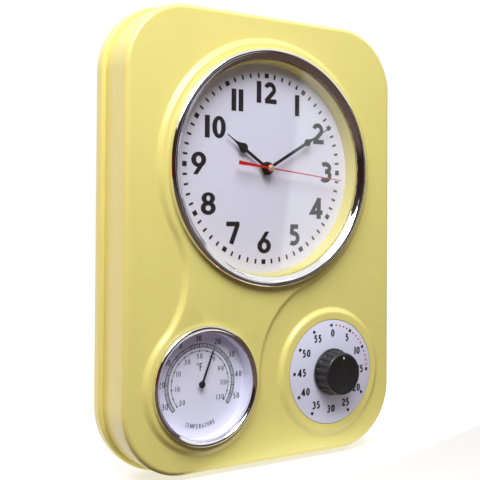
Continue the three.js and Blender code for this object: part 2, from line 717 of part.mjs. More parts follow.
// Flat soft-iron stator: it threads the coil and closes round the rotor.
function stator() {
  const [top, foot] = [COIL_Y + 1.1, COIL_Y - 1.1];
  const bar = block(-25, 12.6, foot, top, ...STATOR_Z);
  const leg = block(8, 12.6, ROTOR.y, top, ...STATOR_Z);
  const pole = disc(5.2, ...STATOR_Z, ROTOR, 20);
  return cut(join(bar, leg, pole), bore(3.1, ROTOR, 20));
}

function circuitBoard() {
  const board = block(-25.6, -9.4, CLOCK.y - 8, CLOCK.y + 14, 25.6, 26.6);
  const chip = disc(3.2, 24.4, 25.8, new THREE.Vector2(-17.5, CLOCK.y + 2), 14);
  const crystal = block(-23.4, -12, CLOCK.y - 6, CLOCK.y - 4, 23.9, 25.8);
  return join(board, chip, crystal);
}

function rotor() {
  return join(
    gear(ROTOR, ROTOR_TEETH, SECONDS_MODULE, gapTowards(ROTOR_DIRECTION + 180, ROTOR_TEETH), 18.7, 20.4),
    disc(2.6, 21.2, 23.8, ROTOR, 16),
    disc(0.4, 16.2, 27, ROTOR, 6),
  );
}

function fifthWheel() {
  const pinionAt = gapTowards(FIFTH_DIRECTION + 180, FIFTH_PINION_TEETH);
  return join(
    gear(FIFTH, FIFTH_PINION_TEETH, SECONDS_MODULE, pinionAt, 17.2, 19.2),
    gear(FIFTH, FIFTH_TEETH, SECONDS_MODULE, ROTOR_DIRECTION, 19.1, 19.8),
    disc(0.4, 16.2, 20.4, FIFTH, 6),
  );
}

function secondWheel() {
  return join(
    gear(CLOCK, SECOND_TEETH, SECONDS_MODULE, FIFTH_DIRECTION, 17.4, 18.1),
    gear(CLOCK, SECOND_PINION_TEETH, SECONDS_MODULE, THIRD_DIRECTION, 18.0, 21.4),
    disc(0.55, 16.2, SECOND_HAND_Z + 0.9, CLOCK, 6),
  );
}

function thirdWheel() {
  const wheelAt = gapTowards(THIRD_DIRECTION + 180, THIRD_TEETH);
  return join(
    gear(THIRD, THIRD_TEETH, SECONDS_MODULE, wheelAt, 20.5, 21.1),
    gear(THIRD, THIRD_PINION_TEETH, CENTRE_MODULE, THIRD_DIRECTION + 180, 21.0, 22.9),
    disc(0.4, 19.6, 28.8, THIRD, 6),
  );
}

// Centre wheel and cannon pinion in one moulding; the minute hand sits on its tip.
function minuteWheel() {
  const wheelAt = gapTowards(THIRD_DIRECTION, CENTRE_TEETH);
  const body = join(
    gear(CLOCK, CENTRE_TEETH, CENTRE_MODULE, wheelAt, 22.0, 22.6),
    disc(1.35, 21.8, MINUTE_HAND_Z + 0.9, CLOCK, 14),
    gear(CLOCK, CANNON_TEETH, MOTION_MODULE, MOTION_DIRECTION, 23.0, 24.6),
  );
  return cut(body, bore(0.85, CLOCK, 12));
}

function motionWheel() {
  const wheelAt = gapTowards(MOTION_DIRECTION + 180, MOTION_TEETH);
  return join(
    gear(MOTION, MOTION_TEETH, MOTION_MODULE, wheelAt, 23.4, 24.1),
    gear(MOTION, MOTION_PINION_TEETH, MOTION_MODULE, MOTION_DIRECTION + 180, 24.0, 26.4),
    disc(0.45, 23.1, 28.8, MOTION, 6),
  );
}

function hourWheel() {
  const body = join(
    gear(CLOCK, HOUR_TEETH, MOTION_MODULE, gapTowards(MOTION_DIRECTION, HOUR_TEETH), 25.2, 25.9),
    disc(2.3, 25.2, HOUR_HAND_Z + 0.9, CLOCK, 16),
  );
  return cut(body, bore(1.65, CLOCK, 14));
}

// The setting gear meshes with the motion wheel. That wheel's teeth start from wheelAt, so the angle
// left over towards the setter fixes where the setter's own gap has to stand.
function setKnob() {
  const pitch = 360 / MOTION_TEETH;
  const wheelAt = gapTowards(MOTION_DIRECTION + 180, MOTION_TEETH);
  const nearest = wheelAt + Math.round((SET_DIRECTION - wheelAt) / pitch) * pitch;
  const slip = (nearest - SET_DIRECTION) * (MOTION_TEETH / SET_TEETH);
  const toothAt = gapTowards(SET_DIRECTION + 180, SET_TEETH) - slip;
  const knob = new THREE.CylinderGeometry(6, 6, 2.4, 18).rotateX(Math.PI / 2);
  return join(
    gear(SETTER, SET_TEETH, MOTION_MODULE, toothAt, 23.3, 24.3),
    disc(1.2, 11, 28.6, SETTER, 12),
    knob.translate(SETTER.x, SETTER.y, 12.4),
  );
}

function nut() {
  const hexagon = new THREE.Shape().absarc(0, 0, BUSH_R + 1.7, 0, Math.PI * 2, false);
  const blank = extrude(hexagon, CARRIER_FRONT_Z + 1, 35.9, 3).translate(CLOCK.x, CLOCK.y, 0);
  return cut(blank, bore(BUSH_R + GAP, CLOCK, 20));
}

// Sprung contact at one end of the battery: side is 1 at the button and -1 at the base.
function contact(side) {
  const x = side * (BATTERY_HALF + 2);
  const inward = x - side * 6;
  const [thin, edge0, edge1] = [0.25, BATTERY_Y + 4.2, BATTERY_Y + 5];
  const leaf = block(x - thin, x + thin, BATTERY_Y - 5, edge1, 17.5, 27.5);
  const riser = block(x - thin, x + thin, edge0, edge1, 27.4, 28.7);
  const foot = block(Math.min(x, inward), Math.max(x, inward), edge0, edge1, 28.2, 28.7);
  const dimple = disc(1.8, 0, 1, new THREE.Vector2(), 12)
    .rotateY(Math.PI / 2)
    .translate(side > 0 ? x - 1.1 : x, BATTERY_Y, BATTERY_Z);
  return join(leaf, riser, foot, dimple);
}

piece("movement_case", movementCase(), DARK_PLASTIC);
piece("movement_cover", movementCover(), DARK_PLASTIC);
piece("movement_nut", nut(), BRASS);
piece("battery", battery(), SLEEVE);
piece("positive_contact", contact(1), STEEL);
piece("negative_contact", contact(-1), STEEL);
piece("coil", coil(), COPPER);
piece("stator", stator(), STEEL);
piece("circuit_board", circuitBoard(), BOARD_GREEN);
piece("rotor", rotor(), NATURAL_PLASTIC);
piece("fifth_wheel", fifthWheel(), NATURAL_PLASTIC);
piece("second_wheel", secondWheel(), NATURAL_PLASTIC);
piece("third_wheel", thirdWheel(), NATURAL_PLASTIC);
piece("minute_wheel", minuteWheel(), NATURAL_PLASTIC);
piece("motion_wheel", motionWheel(), NATURAL_PLASTIC);
piece("hour_wheel", hourWheel(), NATURAL_PLASTIC);
piece("set_knob", setKnob(), NATURAL_PLASTIC);

// ---------------------------------------------------------------- thermometer
const COIL_TURN_GAP = 1.5;

// Flat spiral strip between two radii.
function spiral(at, innerR, turns, pitch, thickness, z0, z1, stepsPerTurn) {
  const steps = Math.round(turns * stepsPerTurn);
  const side = (shift) =>
    Array.from({ length: steps + 1 }, (_, i) => {
      const a = (i / stepsPerTurn) * Math.PI * 2;
      const r = innerR + (pitch * i) / stepsPerTurn + shift;
      return new THREE.Vector2(at.x + r * Math.cos(a), at.y + r * Math.sin(a));
    });
  return extrude(new THREE.Shape([...side(0), ...side(thickness).reverse()]), z0, z1);
}

function thermometerCase() {
  return turned(
    [
      [1.1, 30.6],
      [36, 30.6],
      [THERMOMETER_CUP_R, 33],
      [THERMOMETER_CUP_R, FIELD_Z + GAP],
      [41.2, FIELD_Z + GAP],
      [41.2, FIELD_Z + 1],
      [37.6, FIELD_Z + 1],
      [37.6, 33.4],
      [35.4, 31.8],
      [1.1, 31.8],
      [1.1, 30.6],
    ],
    THERMOMETER,
    28,
  );
}

function domedLens() {
  const z = FIELD_Z + 1 + GAP;
  return turned(
    [
      [0, z + 1.6],
      [20, z + 1.2],
      [34, z],
      [38.6, z],
      [38.6, z + 1],
      [34.4, z + 1.2],
      [20, z + 2.5],
      [0, z + 2.9],
    ],
    THERMOMETER,
    24,
  );
}

function thermometerBezel() {
  const [r, z, top] = [THERMOMETER_BEZEL_R, FIELD_Z + GAP, THERMOMETER_BEZEL_TOP_Z];
  const [inner, seat] = [39, 41.5];
  return turned(
    [
      [seat, z],
      [r, z],
      [r, z + 1.2],
      [r - 0.6, top - 0.6],
      [r - 1.5, top],
      [r - 2.6, top - 0.7],
      [inner, top - 1.2],
      [inner, z + 1.1],
      [seat, z + 1.1],
      [seat, z],
    ],
    THERMOMETER,
    28,
  );
}

const POINTER_Z = [38.6, 39];
const POINTER_LENGTH = 24.8;
const POINTER_TAIL = 3.4;

function pointer() {
  const blade = new THREE.Shape([
    new THREE.Vector2(-0.7, 0),
    new THREE.Vector2(-0.7, -POINTER_TAIL),
    new THREE.Vector2(0.7, -POINTER_TAIL),
    new THREE.Vector2(0.7, 0),
    new THREE.Vector2(0.35, POINTER_LENGTH),
    new THREE.Vector2(-0.35, POINTER_LENGTH),
  ]);
  const hub = disc(2.2, POINTER_Z[0] - 0.4, POINTER_Z[1] + 0.6, new THREE.Vector2(), 16);
  const socket = disc(0.9, POINTER_Z[0] - 1.6, POINTER_Z[1] + 0.1, new THREE.Vector2(), 10);
  const needle = cut(join(extrude(blade, ...POINTER_Z), hub), socket);
  return needle.rotateZ(-rad(POINTER_ANGLE)).translate(THERMOMETER.x, THERMOMETER.y, 0);
}

piece("thermometer_case", thermometerCase(), WHITE);
piece(
  "thermometer_dial",
  ring(37, 1.2, THERMOMETER_DIAL_Z - 0.6, THERMOMETER_DIAL_Z, THERMOMETER, 28),
  WHITE,
);
piece("thermometer_pointer", pointer(), BLACK);
piece("pointer_staff", disc(0.6, 30.9, 38.8, THERMOMETER, 10), STEEL);
piece("bimetal_coil", spiral(THERMOMETER, 1.4, 5, COIL_TURN_GAP, 0.5, 32.4, 34.4, 10), BRASS);
piece("thermometer_lens", domedLens(), CLEAR);
piece("thermometer_bezel", thermometerBezel(), CHROME);

// ---------------------------------------------------------------- timer
const KNOB_R = 18;
const KNOB_RIBS = 20;
const CROWN_R = 16.6; // ribbed grip above the knob's flange
const SHAFT_R = 3;
const SHAFT_TOP_Z = 54;
const PLATE_FRONT_Z = 36.6;
const PLATE_BACK_Z = 15.6;
const PLATE_THICKNESS = 1.2;
const PILLAR_R = 26.5;
const PILLAR_ANGLES = [30, 150, 270]; // clock angles

const MAIN_TEETH = 48;
const IDLER_PINION_TEETH = 10;
const IDLER_TEETH = 36;
const ESCAPE_PINION_TEETH = 9;
const ESCAPE_TEETH = 15;
const MAIN_MODULE = 0.7;
const IDLER_MODULE = 0.6;
const IDLER_DIRECTION = 100;
const ESCAPE_DIRECTION = 215;
const IDLER_DISTANCE = (MAIN_MODULE * (MAIN_TEETH + IDLER_PINION_TEETH)) / 2;
const ESCAPE_DISTANCE = (IDLER_MODULE * (IDLER_TEETH + ESCAPE_PINION_TEETH)) / 2;
const IDLER = offset(TIMER, IDLER_DISTANCE, IDLER_DIRECTION);
const ESCAPE = offset(IDLER, ESCAPE_DISTANCE, ESCAPE_DIRECTION);
const ESCAPE_TIP_R = 7.5;
const PALLET_DIRECTION = 235;
const PALLET = offset(ESCAPE, 12.4, PALLET_DIRECTION);
const BELL = new THREE.Vector2(TIMER.x, TIMER.y - 10);
const HAMMER = offset(TIMER, 29, -40);
const HAMMER_HEAD = offset(BELL, 26, -60);

function timerKnob() {
  const flangeZ = TIMER_DISC_Z + 1.2;
  const flange = disc(KNOB_R, flangeZ, flangeZ + 2, TIMER, KNOB_RIBS);
  const crown = turned(
    [
      [0, flangeZ + 0.8],
      [CROWN_R, flangeZ + 0.8],
      [CROWN_R - 1, KNOB_FRONT_Z - 0.8],
      [CROWN_R - 1.7, KNOB_FRONT_Z],
      [0, KNOB_FRONT_Z],
    ],
    TIMER,
    KNOB_RIBS,
  );
  const fluteLength = 16;
  const flutes = Array.from({ length: KNOB_RIBS }, (_, i) => {
    const tool = new THREE.CylinderGeometry(1.3, 1.7, fluteLength, 5).rotateX(Math.PI / 2);
    const at = onDial(TIMER, CROWN_R + 0.6, (i + 0.5) * (360 / KNOB_RIBS));
    return tool.translate(at.x, at.y, flangeZ + 2 + fluteLength / 2);
  });
  const socket = disc(SHAFT_R + GAP, 40, SHAFT_TOP_Z + 0.4, TIMER, 12);
  const hollow = disc(9, 40, flangeZ + 1.2, TIMER, 16);
  return cut(join(flange, crown), ...flutes, socket, hollow);
}

// The shaft's top carries a flat, as the knob's grip on it does.
function timerShaft() {
  const flat = block(TIMER.x - 4, TIMER.x + 4, TIMER.y + 2.2, TIMER.y + 4, 45, SHAFT_TOP_Z + 1);
  return cut(disc(SHAFT_R, 14, SHAFT_TOP_Z, TIMER, 20), flat);
}

const PLATE_R = 31;
const PIVOT_HOLE_R = 0.95;

function mechanismPlate(z0) {
  const outline = new THREE.Shape().absarc(TIMER.x, TIMER.y, PLATE_R, 0, Math.PI * 2, false);
  const blank = extrude(outline, z0, z0 + PLATE_THICKNESS, 10);
  const pivots = [IDLER, ESCAPE, PALLET].map((at) => bore(PIVOT_HOLE_R, at));
  const tenons = PILLAR_ANGLES.map((angle) => bore(1.7, onDial(TIMER, PILLAR_R, angle)));
  return cut(blank, bore(SHAFT_R + 0.5, TIMER, 12), ...pivots, ...tenons);
}

function frontPlate() {
  const screwHoles = MECHANISM_SCREW_ANGLES.map((angle) =>
    bore(SCREW_HOLE_R, onDial(TIMER, MECHANISM_SCREW_RING, angle)),
  );
  return cut(mechanismPlate(PLATE_FRONT_Z), ...screwHoles);
}

function backPlate() {
  return cut(mechanismPlate(PLATE_BACK_Z), bore(1.4, HAMMER), bore(1.7, BELL));
}

// Shouldered pillar with a riveted tenon at each end.
function pillar(at) {
  const [z0, z1] = [PLATE_BACK_Z + PLATE_THICKNESS + GAP, PLATE_FRONT_Z - GAP];
  return turned(
    [
      [0, z0 - 1.2],
      [1.3, z0 - 1.2],
      [1.3, z0],
      [2.4, z0],
      [2.4, z1],
      [1.3, z1],
      [1.3, z1 + 1.2],
      [0, z1 + 1.2],
    ],
    at,
    10,
  );
}

function mainWheel() {
  const hub = disc(5, 18.4, 21.4, TIMER, 18);
  const rim = gear(TIMER, MAIN_TEETH, MAIN_MODULE, IDLER_DIRECTION, 18.9, 19.9);
  return cut(join(rim, hub), bore(SHAFT_R + GAP, TIMER, 20));
}

// Thin arbor that runs between the two plates.
function arbor(at, segments = 6) {
  return disc(0.6, PLATE_BACK_Z + 0.1, PLATE_FRONT_Z + 1.1, at, segments);
}

function idlerWheel() {
  const pinionAt = gapTowards(IDLER_DIRECTION + 180, IDLER_PINION_TEETH);
  return join(
    gear(IDLER, IDLER_PINION_TEETH, MAIN_MODULE, pinionAt, 18.2, 21.4),
    gear(IDLER, IDLER_TEETH, IDLER_MODULE, ESCAPE_DIRECTION, 21.3, 22.1),
    arbor(IDLER),
  );
}

const ESCAPE_ROOT_R = 5.6;
const ESCAPE_TIP_SHARE = 0.75; // where in each pitch the leaning tooth has its tip
const ESCAPE_HEEL_SHARE = 0.85;

function escapeWheel() {
  const pinionAt = gapTowards(ESCAPE_DIRECTION + 180, ESCAPE_PINION_TEETH);
  const pitch = 360 / ESCAPE_TEETH;
  const middle = new THREE.Vector2();
  const points = [];
  for (let i = 0; i < ESCAPE_TEETH; i++) {
    points.push(offset(middle, ESCAPE_ROOT_R, i * pitch));
    points.push(offset(middle, ESCAPE_TIP_R, (i + ESCAPE_TIP_SHARE) * pitch));
    points.push(offset(middle, ESCAPE_ROOT_R, (i + ESCAPE_HEEL_SHARE) * pitch));
  }
  const teeth = extrude(new THREE.Shape(points), 24.6, 25.3).translate(ESCAPE.x, ESCAPE.y, 0);
  return join(
    teeth,
    gear(ESCAPE, ESCAPE_PINION_TEETH, IDLER_MODULE, pinionAt, 21.0, 24.7),
    arbor(ESCAPE),
  );
}

// Pin-pallet lever: a cross bar on a short stem, with a pin at each end that flanks the escape wheel.
function palletLever() {
  const [barX, pinY] = [5.2, 5.6];
  const bar = extrude(roundedRectangle(2.2, 2 * pinY + 2.2, 1), 25.8, 26.6, 2).translate(barX, 0, 0);
  const stem = block(-1.4, barX, -1.1, 1.1, 25.8, 26.6);
  const pins = [-pinY, pinY].map((y) => disc(0.6, 24.5, 26, new THREE.Vector2(barX, y), 6));
  return join(bar, stem, ...pins, arbor(new THREE.Vector2(), 8))
    .rotateZ(rad(PALLET_DIRECTION - 180))
    .translate(PALLET.x, PALLET.y, 0);
}

const BELL_R = 23;
const BELL_Z = 4.4; // open rim of the bell
const BELL_TOP_Z = 12.6;

function bell() {
  return turned(
    [
      [1.9, BELL_TOP_Z - 1],
      [12, BELL_TOP_Z - 1.2],
      [19, BELL_TOP_Z - 3],
      [BELL_R - 1, BELL_Z],
      [BELL_R, BELL_Z],
      [20, BELL_TOP_Z - 2.2],
      [12.4, BELL_TOP_Z - 0.2],
      [1.9, BELL_TOP_Z],
      [1.9, BELL_TOP_Z - 1],
    ],
    BELL,
    24,
  );
}

// The bell hangs on a shouldered stud that screws into the back plate, below the arbor's end.
function bellStud() {
  return turned(
    [
      [0, BELL_TOP_Z - 3.4],
      [3, BELL_TOP_Z - 3.4],
      [3, BELL_TOP_Z - 1.4],
      [1.5, BELL_TOP_Z - 1.4],
      [1.5, BELL_TOP_Z + GAP],
      [2.8, BELL_TOP_Z + GAP],
      [2.8, PLATE_BACK_Z - GAP],
      [1.3, PLATE_BACK_Z - GAP],
      [1.3, PLATE_BACK_Z + PLATE_THICKNESS + 0.4],
      [0, PLATE_BACK_Z + PLATE_THICKNESS + 0.4],
    ],
    BELL,
    10,
  );
}

// The hammer's arm turns behind the back plate and carries its head beside the bell's rim.
function hammer() {
  const reach = HAMMER.distanceTo(HAMMER_HEAD);
  const arm = block(-1.6, reach + 0.8, -0.8, 0.8, 13.2, 14.2);
  const head = disc(2.2, 5.4, 13.4, new THREE.Vector2(reach, 0), 12);
  const pivot = disc(1, 13.2, 17.6, new THREE.Vector2(), 8);
  return join(arm, head, pivot)
    .rotateZ(angleFrom(HAMMER, HAMMER_HEAD))
    .translate(HAMMER.x, HAMMER.y, 0);
}

piece("timer_dial", ring(TIMER_DISC_R, SHAFT_HOLE_R, TIMER_DISC_Z - 0.7, TIMER_DISC_Z, TIMER, 28), WHITE);
piece("timer_knob", timerKnob(), BLACK);
piece("timer_shaft", timerShaft(), STEEL);
piece("timer_front_plate", frontPlate(), STEEL);
piece("timer_back_plate", backPlate(), STEEL);
PILLAR_ANGLES.forEach((angle, i) => {
  piece(`timer_pillar_${i + 1}`, pillar(onDial(TIMER, PILLAR_R, angle)), BRASS);
});
piece("main_wheel", mainWheel(), BRASS);
piece("mainspring", spiral(TIMER, 4.2, 5, 2.6, 0.7, 27, 33, 12), STEEL);
piece("idler_wheel", idlerWheel(), BRASS);
piece("escape_wheel", escapeWheel(), BRASS);
piece("pallet_lever", palletLever(), STEEL);
piece("bell", bell(), STEEL);
piece("bell_stud", bellStud(), STEEL);
piece("hammer", hammer(), STEEL);
MECHANISM_SCREW_ANGLES.forEach((angle, i) => {
  const at = onDial(TIMER, MECHANISM_SCREW_RING, angle);
  piece(`timer_screw_${i + 1}`, screw(at, MECHANISM_SCREW), STEEL);
});

root.rotation.x = Math.PI / 2;
export default root;
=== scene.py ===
"""A wall-hung kitchen timer with a clock and a thermometer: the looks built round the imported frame.

Shapes are worked out in a panel frame in millimetres: x to the viewer's right, y up, and z out of the
wall towards the viewer. place() turns a panel point into the row frame in metres.
"""
import json
import math

import bmesh
import bpy
from mathutils import Matrix, Vector, geometry


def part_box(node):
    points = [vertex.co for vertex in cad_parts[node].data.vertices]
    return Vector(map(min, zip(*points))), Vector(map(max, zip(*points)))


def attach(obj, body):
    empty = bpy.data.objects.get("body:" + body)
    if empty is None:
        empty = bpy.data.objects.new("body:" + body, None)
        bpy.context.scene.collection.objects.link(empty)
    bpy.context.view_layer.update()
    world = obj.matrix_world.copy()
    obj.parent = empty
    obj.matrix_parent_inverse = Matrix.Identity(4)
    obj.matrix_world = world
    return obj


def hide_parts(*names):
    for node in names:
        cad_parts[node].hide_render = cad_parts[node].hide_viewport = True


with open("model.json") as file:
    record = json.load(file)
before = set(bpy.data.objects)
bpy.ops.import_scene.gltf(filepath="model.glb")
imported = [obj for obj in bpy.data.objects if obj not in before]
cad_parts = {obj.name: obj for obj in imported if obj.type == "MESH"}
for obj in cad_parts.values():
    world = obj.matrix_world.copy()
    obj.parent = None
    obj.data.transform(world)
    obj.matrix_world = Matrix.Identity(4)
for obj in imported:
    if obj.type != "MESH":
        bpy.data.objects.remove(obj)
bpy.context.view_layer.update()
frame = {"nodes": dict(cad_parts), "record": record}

# ---- driving dimensions, in millimetres
MM = 0.001


def node_box(node):
    """Lowest and highest corner of a CAD node in the panel frame."""
    low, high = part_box(node)
    return Vector((low.x, low.z, -high.y)) / MM, Vector((high.x, high.z, -low.y)) / MM


def node_centre(node):
    low, high = node_box(node)
    return Vector(((low.x + high.x) / 2, (low.y + high.y) / 2))


REAR_LOW, REAR_HIGH = node_box("rear_housing")
WIDTH = REAR_HIGH.x - REAR_LOW.x
HEIGHT = REAR_HIGH.y - REAR_LOW.y
TIER_RADIUS = 52  # corners of the rear tier
STEP = 3.4  # how far the front tier stands back from the rear one
FRONT_Z = 41
SHOULDER_Z = 9.2  # front of the rear tier
WALL = 2.2
REAR_WALL = 1.7
RELIEF = 2.9  # how far the fields round the dials rise from the front
FIELD_Z = FRONT_Z + RELIEF
GAP = 0.3  # clearance between neighbours

CLOCK = node_centre("clock_lens")
THERMOMETER = node_centre("thermometer_lens")
TIMER = node_centre("timer_dial")
CLOCK_FIELD_R = 97
SMALL_FIELD_R = 50
FIELD_SLOPE = 4.8
EASE = 0.5  # how far a field's sloped edge eases into the flats: 0 is a plain chamfer
LEFT_BLEND_R = 60
RIGHT_BLEND_R = 65
EDGE_R = 3.6

CLOCK_WINDOW_R = 80
DIAL_WINDOW_R = 78.6
DIAL_Z = node_box("clock_dial")[1].z
THERMOMETER_DIAL_Z = node_box("thermometer_dial")[1].z
TIMER_DISC_Z = node_box("timer_dial")[1].z
INK = 0.12  # thickness of the printing
INK_GAP = 0.02

HOUR_ANGLE = -56.5
MINUTE_ANGLE = 59.8
SECOND_ANGLE = 96.3
POINTER_ANGLE = 21.4


# ---- points and loops
def place(x, y, z):
    """A panel point in the row frame, in metres."""
    return Vector((x * MM, -z * MM, y * MM))


def arc(centre, radius, start, end, steps):
    """Points from start to end, in radians, without the last one."""
    points = []
    for i in range(steps):
        a = start + (end - start) * i / steps
        points.append((centre[0] + radius * math.cos(a), centre[1] + radius * math.sin(a)))
    return points


def circle(centre, radius, steps=96):
    return arc(centre, radius, 0, 2 * math.pi, steps)


def wavy_circle(centre, steps, radius_at):
    """Points round a centre, each at the radius that radius_at gives for its number."""
    points = []
    for i in range(steps):
        a, radius = 2 * math.pi * i / steps, radius_at(i)
        points.append((centre[0] + radius * math.cos(a), centre[1] + radius * math.sin(a)))
    return points


def rounded_rectangle(width, height, radius, centre=(0, 0), steps=24):
    """Anticlockwise outline with the same points at every inset."""
    x, y = width / 2 - radius, height / 2 - radius
    points = []
    for corner, (sx, sy) in enumerate([(1, 1), (-1, 1), (-1, -1), (1, -1)]):
        middle = (centre[0] + sx * x, centre[1] + sy * y)
        start = corner * math.pi / 2
        points += arc(middle, radius, start, start + math.pi / 2, steps)
        end = start + math.pi / 2
        points.append((middle[0] + radius * math.cos(end), middle[1] + radius * math.sin(end)))
    return points


def front_outline(inset):
    pull = STEP + inset
    return rounded_rectangle(WIDTH - 2 * pull, HEIGHT - 2 * pull, TIER_RADIUS - pull)


def rear_outline(inset):
    return rounded_rectangle(WIDTH - 2 * inset, HEIGHT - 2 * inset, TIER_RADIUS - inset)


def outside_tangent(a, radius_a, b, radius_b, r, side):
    """Centre of the circle of radius r that touches two circles from outside."""
    d = (b - a).length
    p, q = radius_a + r, radius_b + r
    along = (p * p - q * q + d * d) / (2 * d)
    across = math.sqrt(p * p - along * along)
    u = (b - a) / d
    return Vector((a.x + u.x * along - side * u.y * across, a.y + u.y * along + side * u.x * across))


def angle_from(centre, point):
    return math.atan2(point[1] - centre[1], point[0] - centre[0])


def swept(start, end, direction):
    """end moved by whole turns so that the sweep from start runs in the given direction."""
    while direction * (end - start) <= 0:
        end += direction * 2 * math.pi
    return start, end


def main_field(inset):
    """The raised field round the clock and the thermometer, its outline moved inwards by inset."""
    clock_r, small_r = CLOCK_FIELD_R - inset, SMALL_FIELD_R - inset
    right_r, left_r = RIGHT_BLEND_R + inset, LEFT_BLEND_R + inset
    right = outside_tangent(CLOCK, clock_r, THERMOMETER, small_r, right_r, 1)
    left = outside_tangent(CLOCK, clock_r, THERMOMETER, small_r, left_r, -1)
    points = []
    for centre, radius, a, b, direction, steps in (
        (CLOCK, clock_r, right, left, 1, 168),
        (left, left_r, CLOCK, THERMOMETER, -1, 30),
        (THERMOMETER, small_r, left, right, 1, 72),
        (right, right_r, THERMOMETER, CLOCK, -1, 40),
    ):
        start, end = swept(angle_from(centre, a), angle_from(centre, b), direction)
        points += arc(centre, radius, start, end, steps)
    return points


def timer_field(inset):
    return circle(TIMER, SMALL_FIELD_R - inset, 120)


def on_dial(centre, radius, degrees):
    """A point at a clock angle, in degrees clockwise from the top."""
    a = math.radians(degrees)
    return Vector((centre[0] + radius * math.sin(a), centre[1] + radius * math.cos(a)))


def turn(points, degrees, centre=(0, 0)):
    """Points turned clockwise about the origin, then moved to centre."""
    a = -math.radians(degrees)
    c, s = math.cos(a), math.sin(a)
    return [(centre[0] + c * x - s * y, centre[1] + s * x + c * y) for x, y in points]


# ---- mesh helpers
def finish_mesh(name, bm, material, body, replaces=(), sharp=35, weld=True):
    """Turns a bmesh into an object that rides on a body."""
    if weld:
        bmesh.ops.remove_doubles(bm, verts=bm.verts, dist=1e-7)
    mesh = bpy.data.meshes.new(name)
    bm.to_mesh(mesh)
    bm.free()
    mesh.polygons.foreach_set("use_smooth", [True] * len(mesh.polygons))
    mesh.set_sharp_from_angle(angle=math.radians(sharp))
    mesh.materials.append(material)
    obj = bpy.data.objects.new(name, mesh)
    bpy.context.scene.collection.objects.link(obj)
    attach(obj, body)
    if replaces:
        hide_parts(*replaces)
    return obj


def add_loop(bm, points, z):
    return [bm.verts.new(place(x, y, z)) for x, y in points]


def strip(bm, lower, upper):
    """Quads between two loops. With anticlockwise loops and upper nearer the viewer they face out."""
    n = len(lower)
    for i in range(n):
        j = (i + 1) % n
        bm.faces.new((lower[i], lower[j], upper[j], upper[i]))


def strips(bm, loops):
    for lower, upper in zip(loops, loops[1:]):
        strip(bm, lower, upper)


def fan(bm, loop, tip):
    """Triangles from a loop to a point nearer the viewer."""
    for i, vertex in enumerate(loop):
        bm.faces.new((vertex, loop[(i + 1) % len(loop)], tip))


def lathe(bm, profile, centre, segments=96):
    """A closed turned body. profile runs anticlockwise in (radius, z), so that faces point out."""
    rings = []
    for radius, z in profile:
        if radius < 1e-6:
            rings.append([bm.verts.new(place(centre[0], centre[1], z))])
        else:
            rings.append(add_loop(bm, circle(centre, radius, segments), z))
    pairs = list(zip(rings, rings[1:]))
    if len(rings[0]) > 1 and len(rings[-1]) > 1:
        pairs.append((rings[-1], rings[0]))
    for a, b in pairs:
        for i in range(segments):
            j = (i + 1) % segments
            if len(a) == 1:
                bm.faces.new((a[0], b[j], b[i]))
            elif len(b) == 1:
                bm.faces.new((a[i], a[j], b[0]))
            else:
                bm.faces.new((a[i], a[j], b[j], b[i]))
    return bm


def turned(name, profile, centre, material, body, replaces=(), segments=96, sharp=35):
    bm = lathe(bmesh.new(), profile, centre, segments)
    bmesh.ops.recalc_face_normals(bm, faces=bm.faces)
    return finish_mesh(name, bm, material, body, replaces, sharp)


def rounded(profile, radius=0.3, steps=3):
    """A closed (radius, z) profile with each corner cut back by a small arc."""
    result = []
    count = len(profile)
    for i in range(count):
        before, here, after = (Vector(profile[k % count]) for k in (i - 1, i, i + 1))
        if here.x < 1e-6:
            result.append(tuple(here))
            continue
        back, ahead = before - here, after - here
        reach = min(radius, back.length * 0.45, ahead.length * 0.45)
        a, b = here + back.normalized() * reach, here + ahead.normalized() * reach
        for k in range(steps + 1):
            t = k / steps
            point = a * (1 - t) ** 2 + here * 2 * t * (1 - t) + b * t * t
            result.append(tuple(point))
    return result


def signed_area(polygon):
    return sum(a[0] * b[1] - a[1] * b[0] for a, b in zip(polygon, polygon[1:] + polygon[:1])) / 2


def flat_faces(polygons, holes=False):
    """The union of closed outlines as triangles. With holes, nested outlines cut each other."""
    points, loops = [], []
    for polygon in polygons:
        start = len(points)
        area = signed_area(polygon)
        if abs(area) < 1e-6:
            continue
        ordered = polygon if area > 0 else polygon[::-1]
        points += [Vector(p) for p in ordered]
        loops.append(list(range(start, len(points))))
    verts, _, faces, _, _, owners = geometry.delaunay_2d_cdt(points, [], loops, 0, 1e-4)
    kept = [f for f, own in zip(faces, owners) if (len(own) % 2 if holes else own)]
    return verts, kept


def add_slab(bm, polygons, z0, z1, holes=False):
    """A flat closed solid between two heights."""
    verts, faces = flat_faces(polygons, holes)
    low = [bm.verts.new(place(v.x, v.y, z0)) for v in verts]
    high = [bm.verts.new(place(v.x, v.y, z1)) for v in verts]
    edges = {}
    for face in faces:
        bm.faces.new([high[i] for i in face])
        bm.faces.new([low[i] for i in reversed(face)])
        for a, b in zip(face, face[1:] + face[:1]):
            edges[(a, b)] = True
    for a, b in edges:
        if (b, a) not in edges:
            bm.faces.new((low[a], low[b], high[b], high[a]))
    loose = [v for v in bm.verts if not v.link_faces]
    bmesh.ops.delete(bm, geom=loose, context="VERTS")
    return bm


def slab(name, polygons, z0, z1, material, body, replaces=(), holes=False, bevel=0.0):
    bm = add_slab(bmesh.new(), polygons, z0, z1, holes)
    obj = finish_mesh(name, bm, material, body, replaces, weld=False)
    if bevel:
        add_bevel(obj, bevel)
    return obj


def add_bevel(obj, width, segments=2, angle=40):
    bevel = obj.modifiers.new("edge", "BEVEL")
    bevel.width = width * MM
    bevel.segments = segments
    bevel.limit_method = "ANGLE"
    bevel.angle_limit = math.radians(angle)
    bevel.harden_normals = True
    return bevel


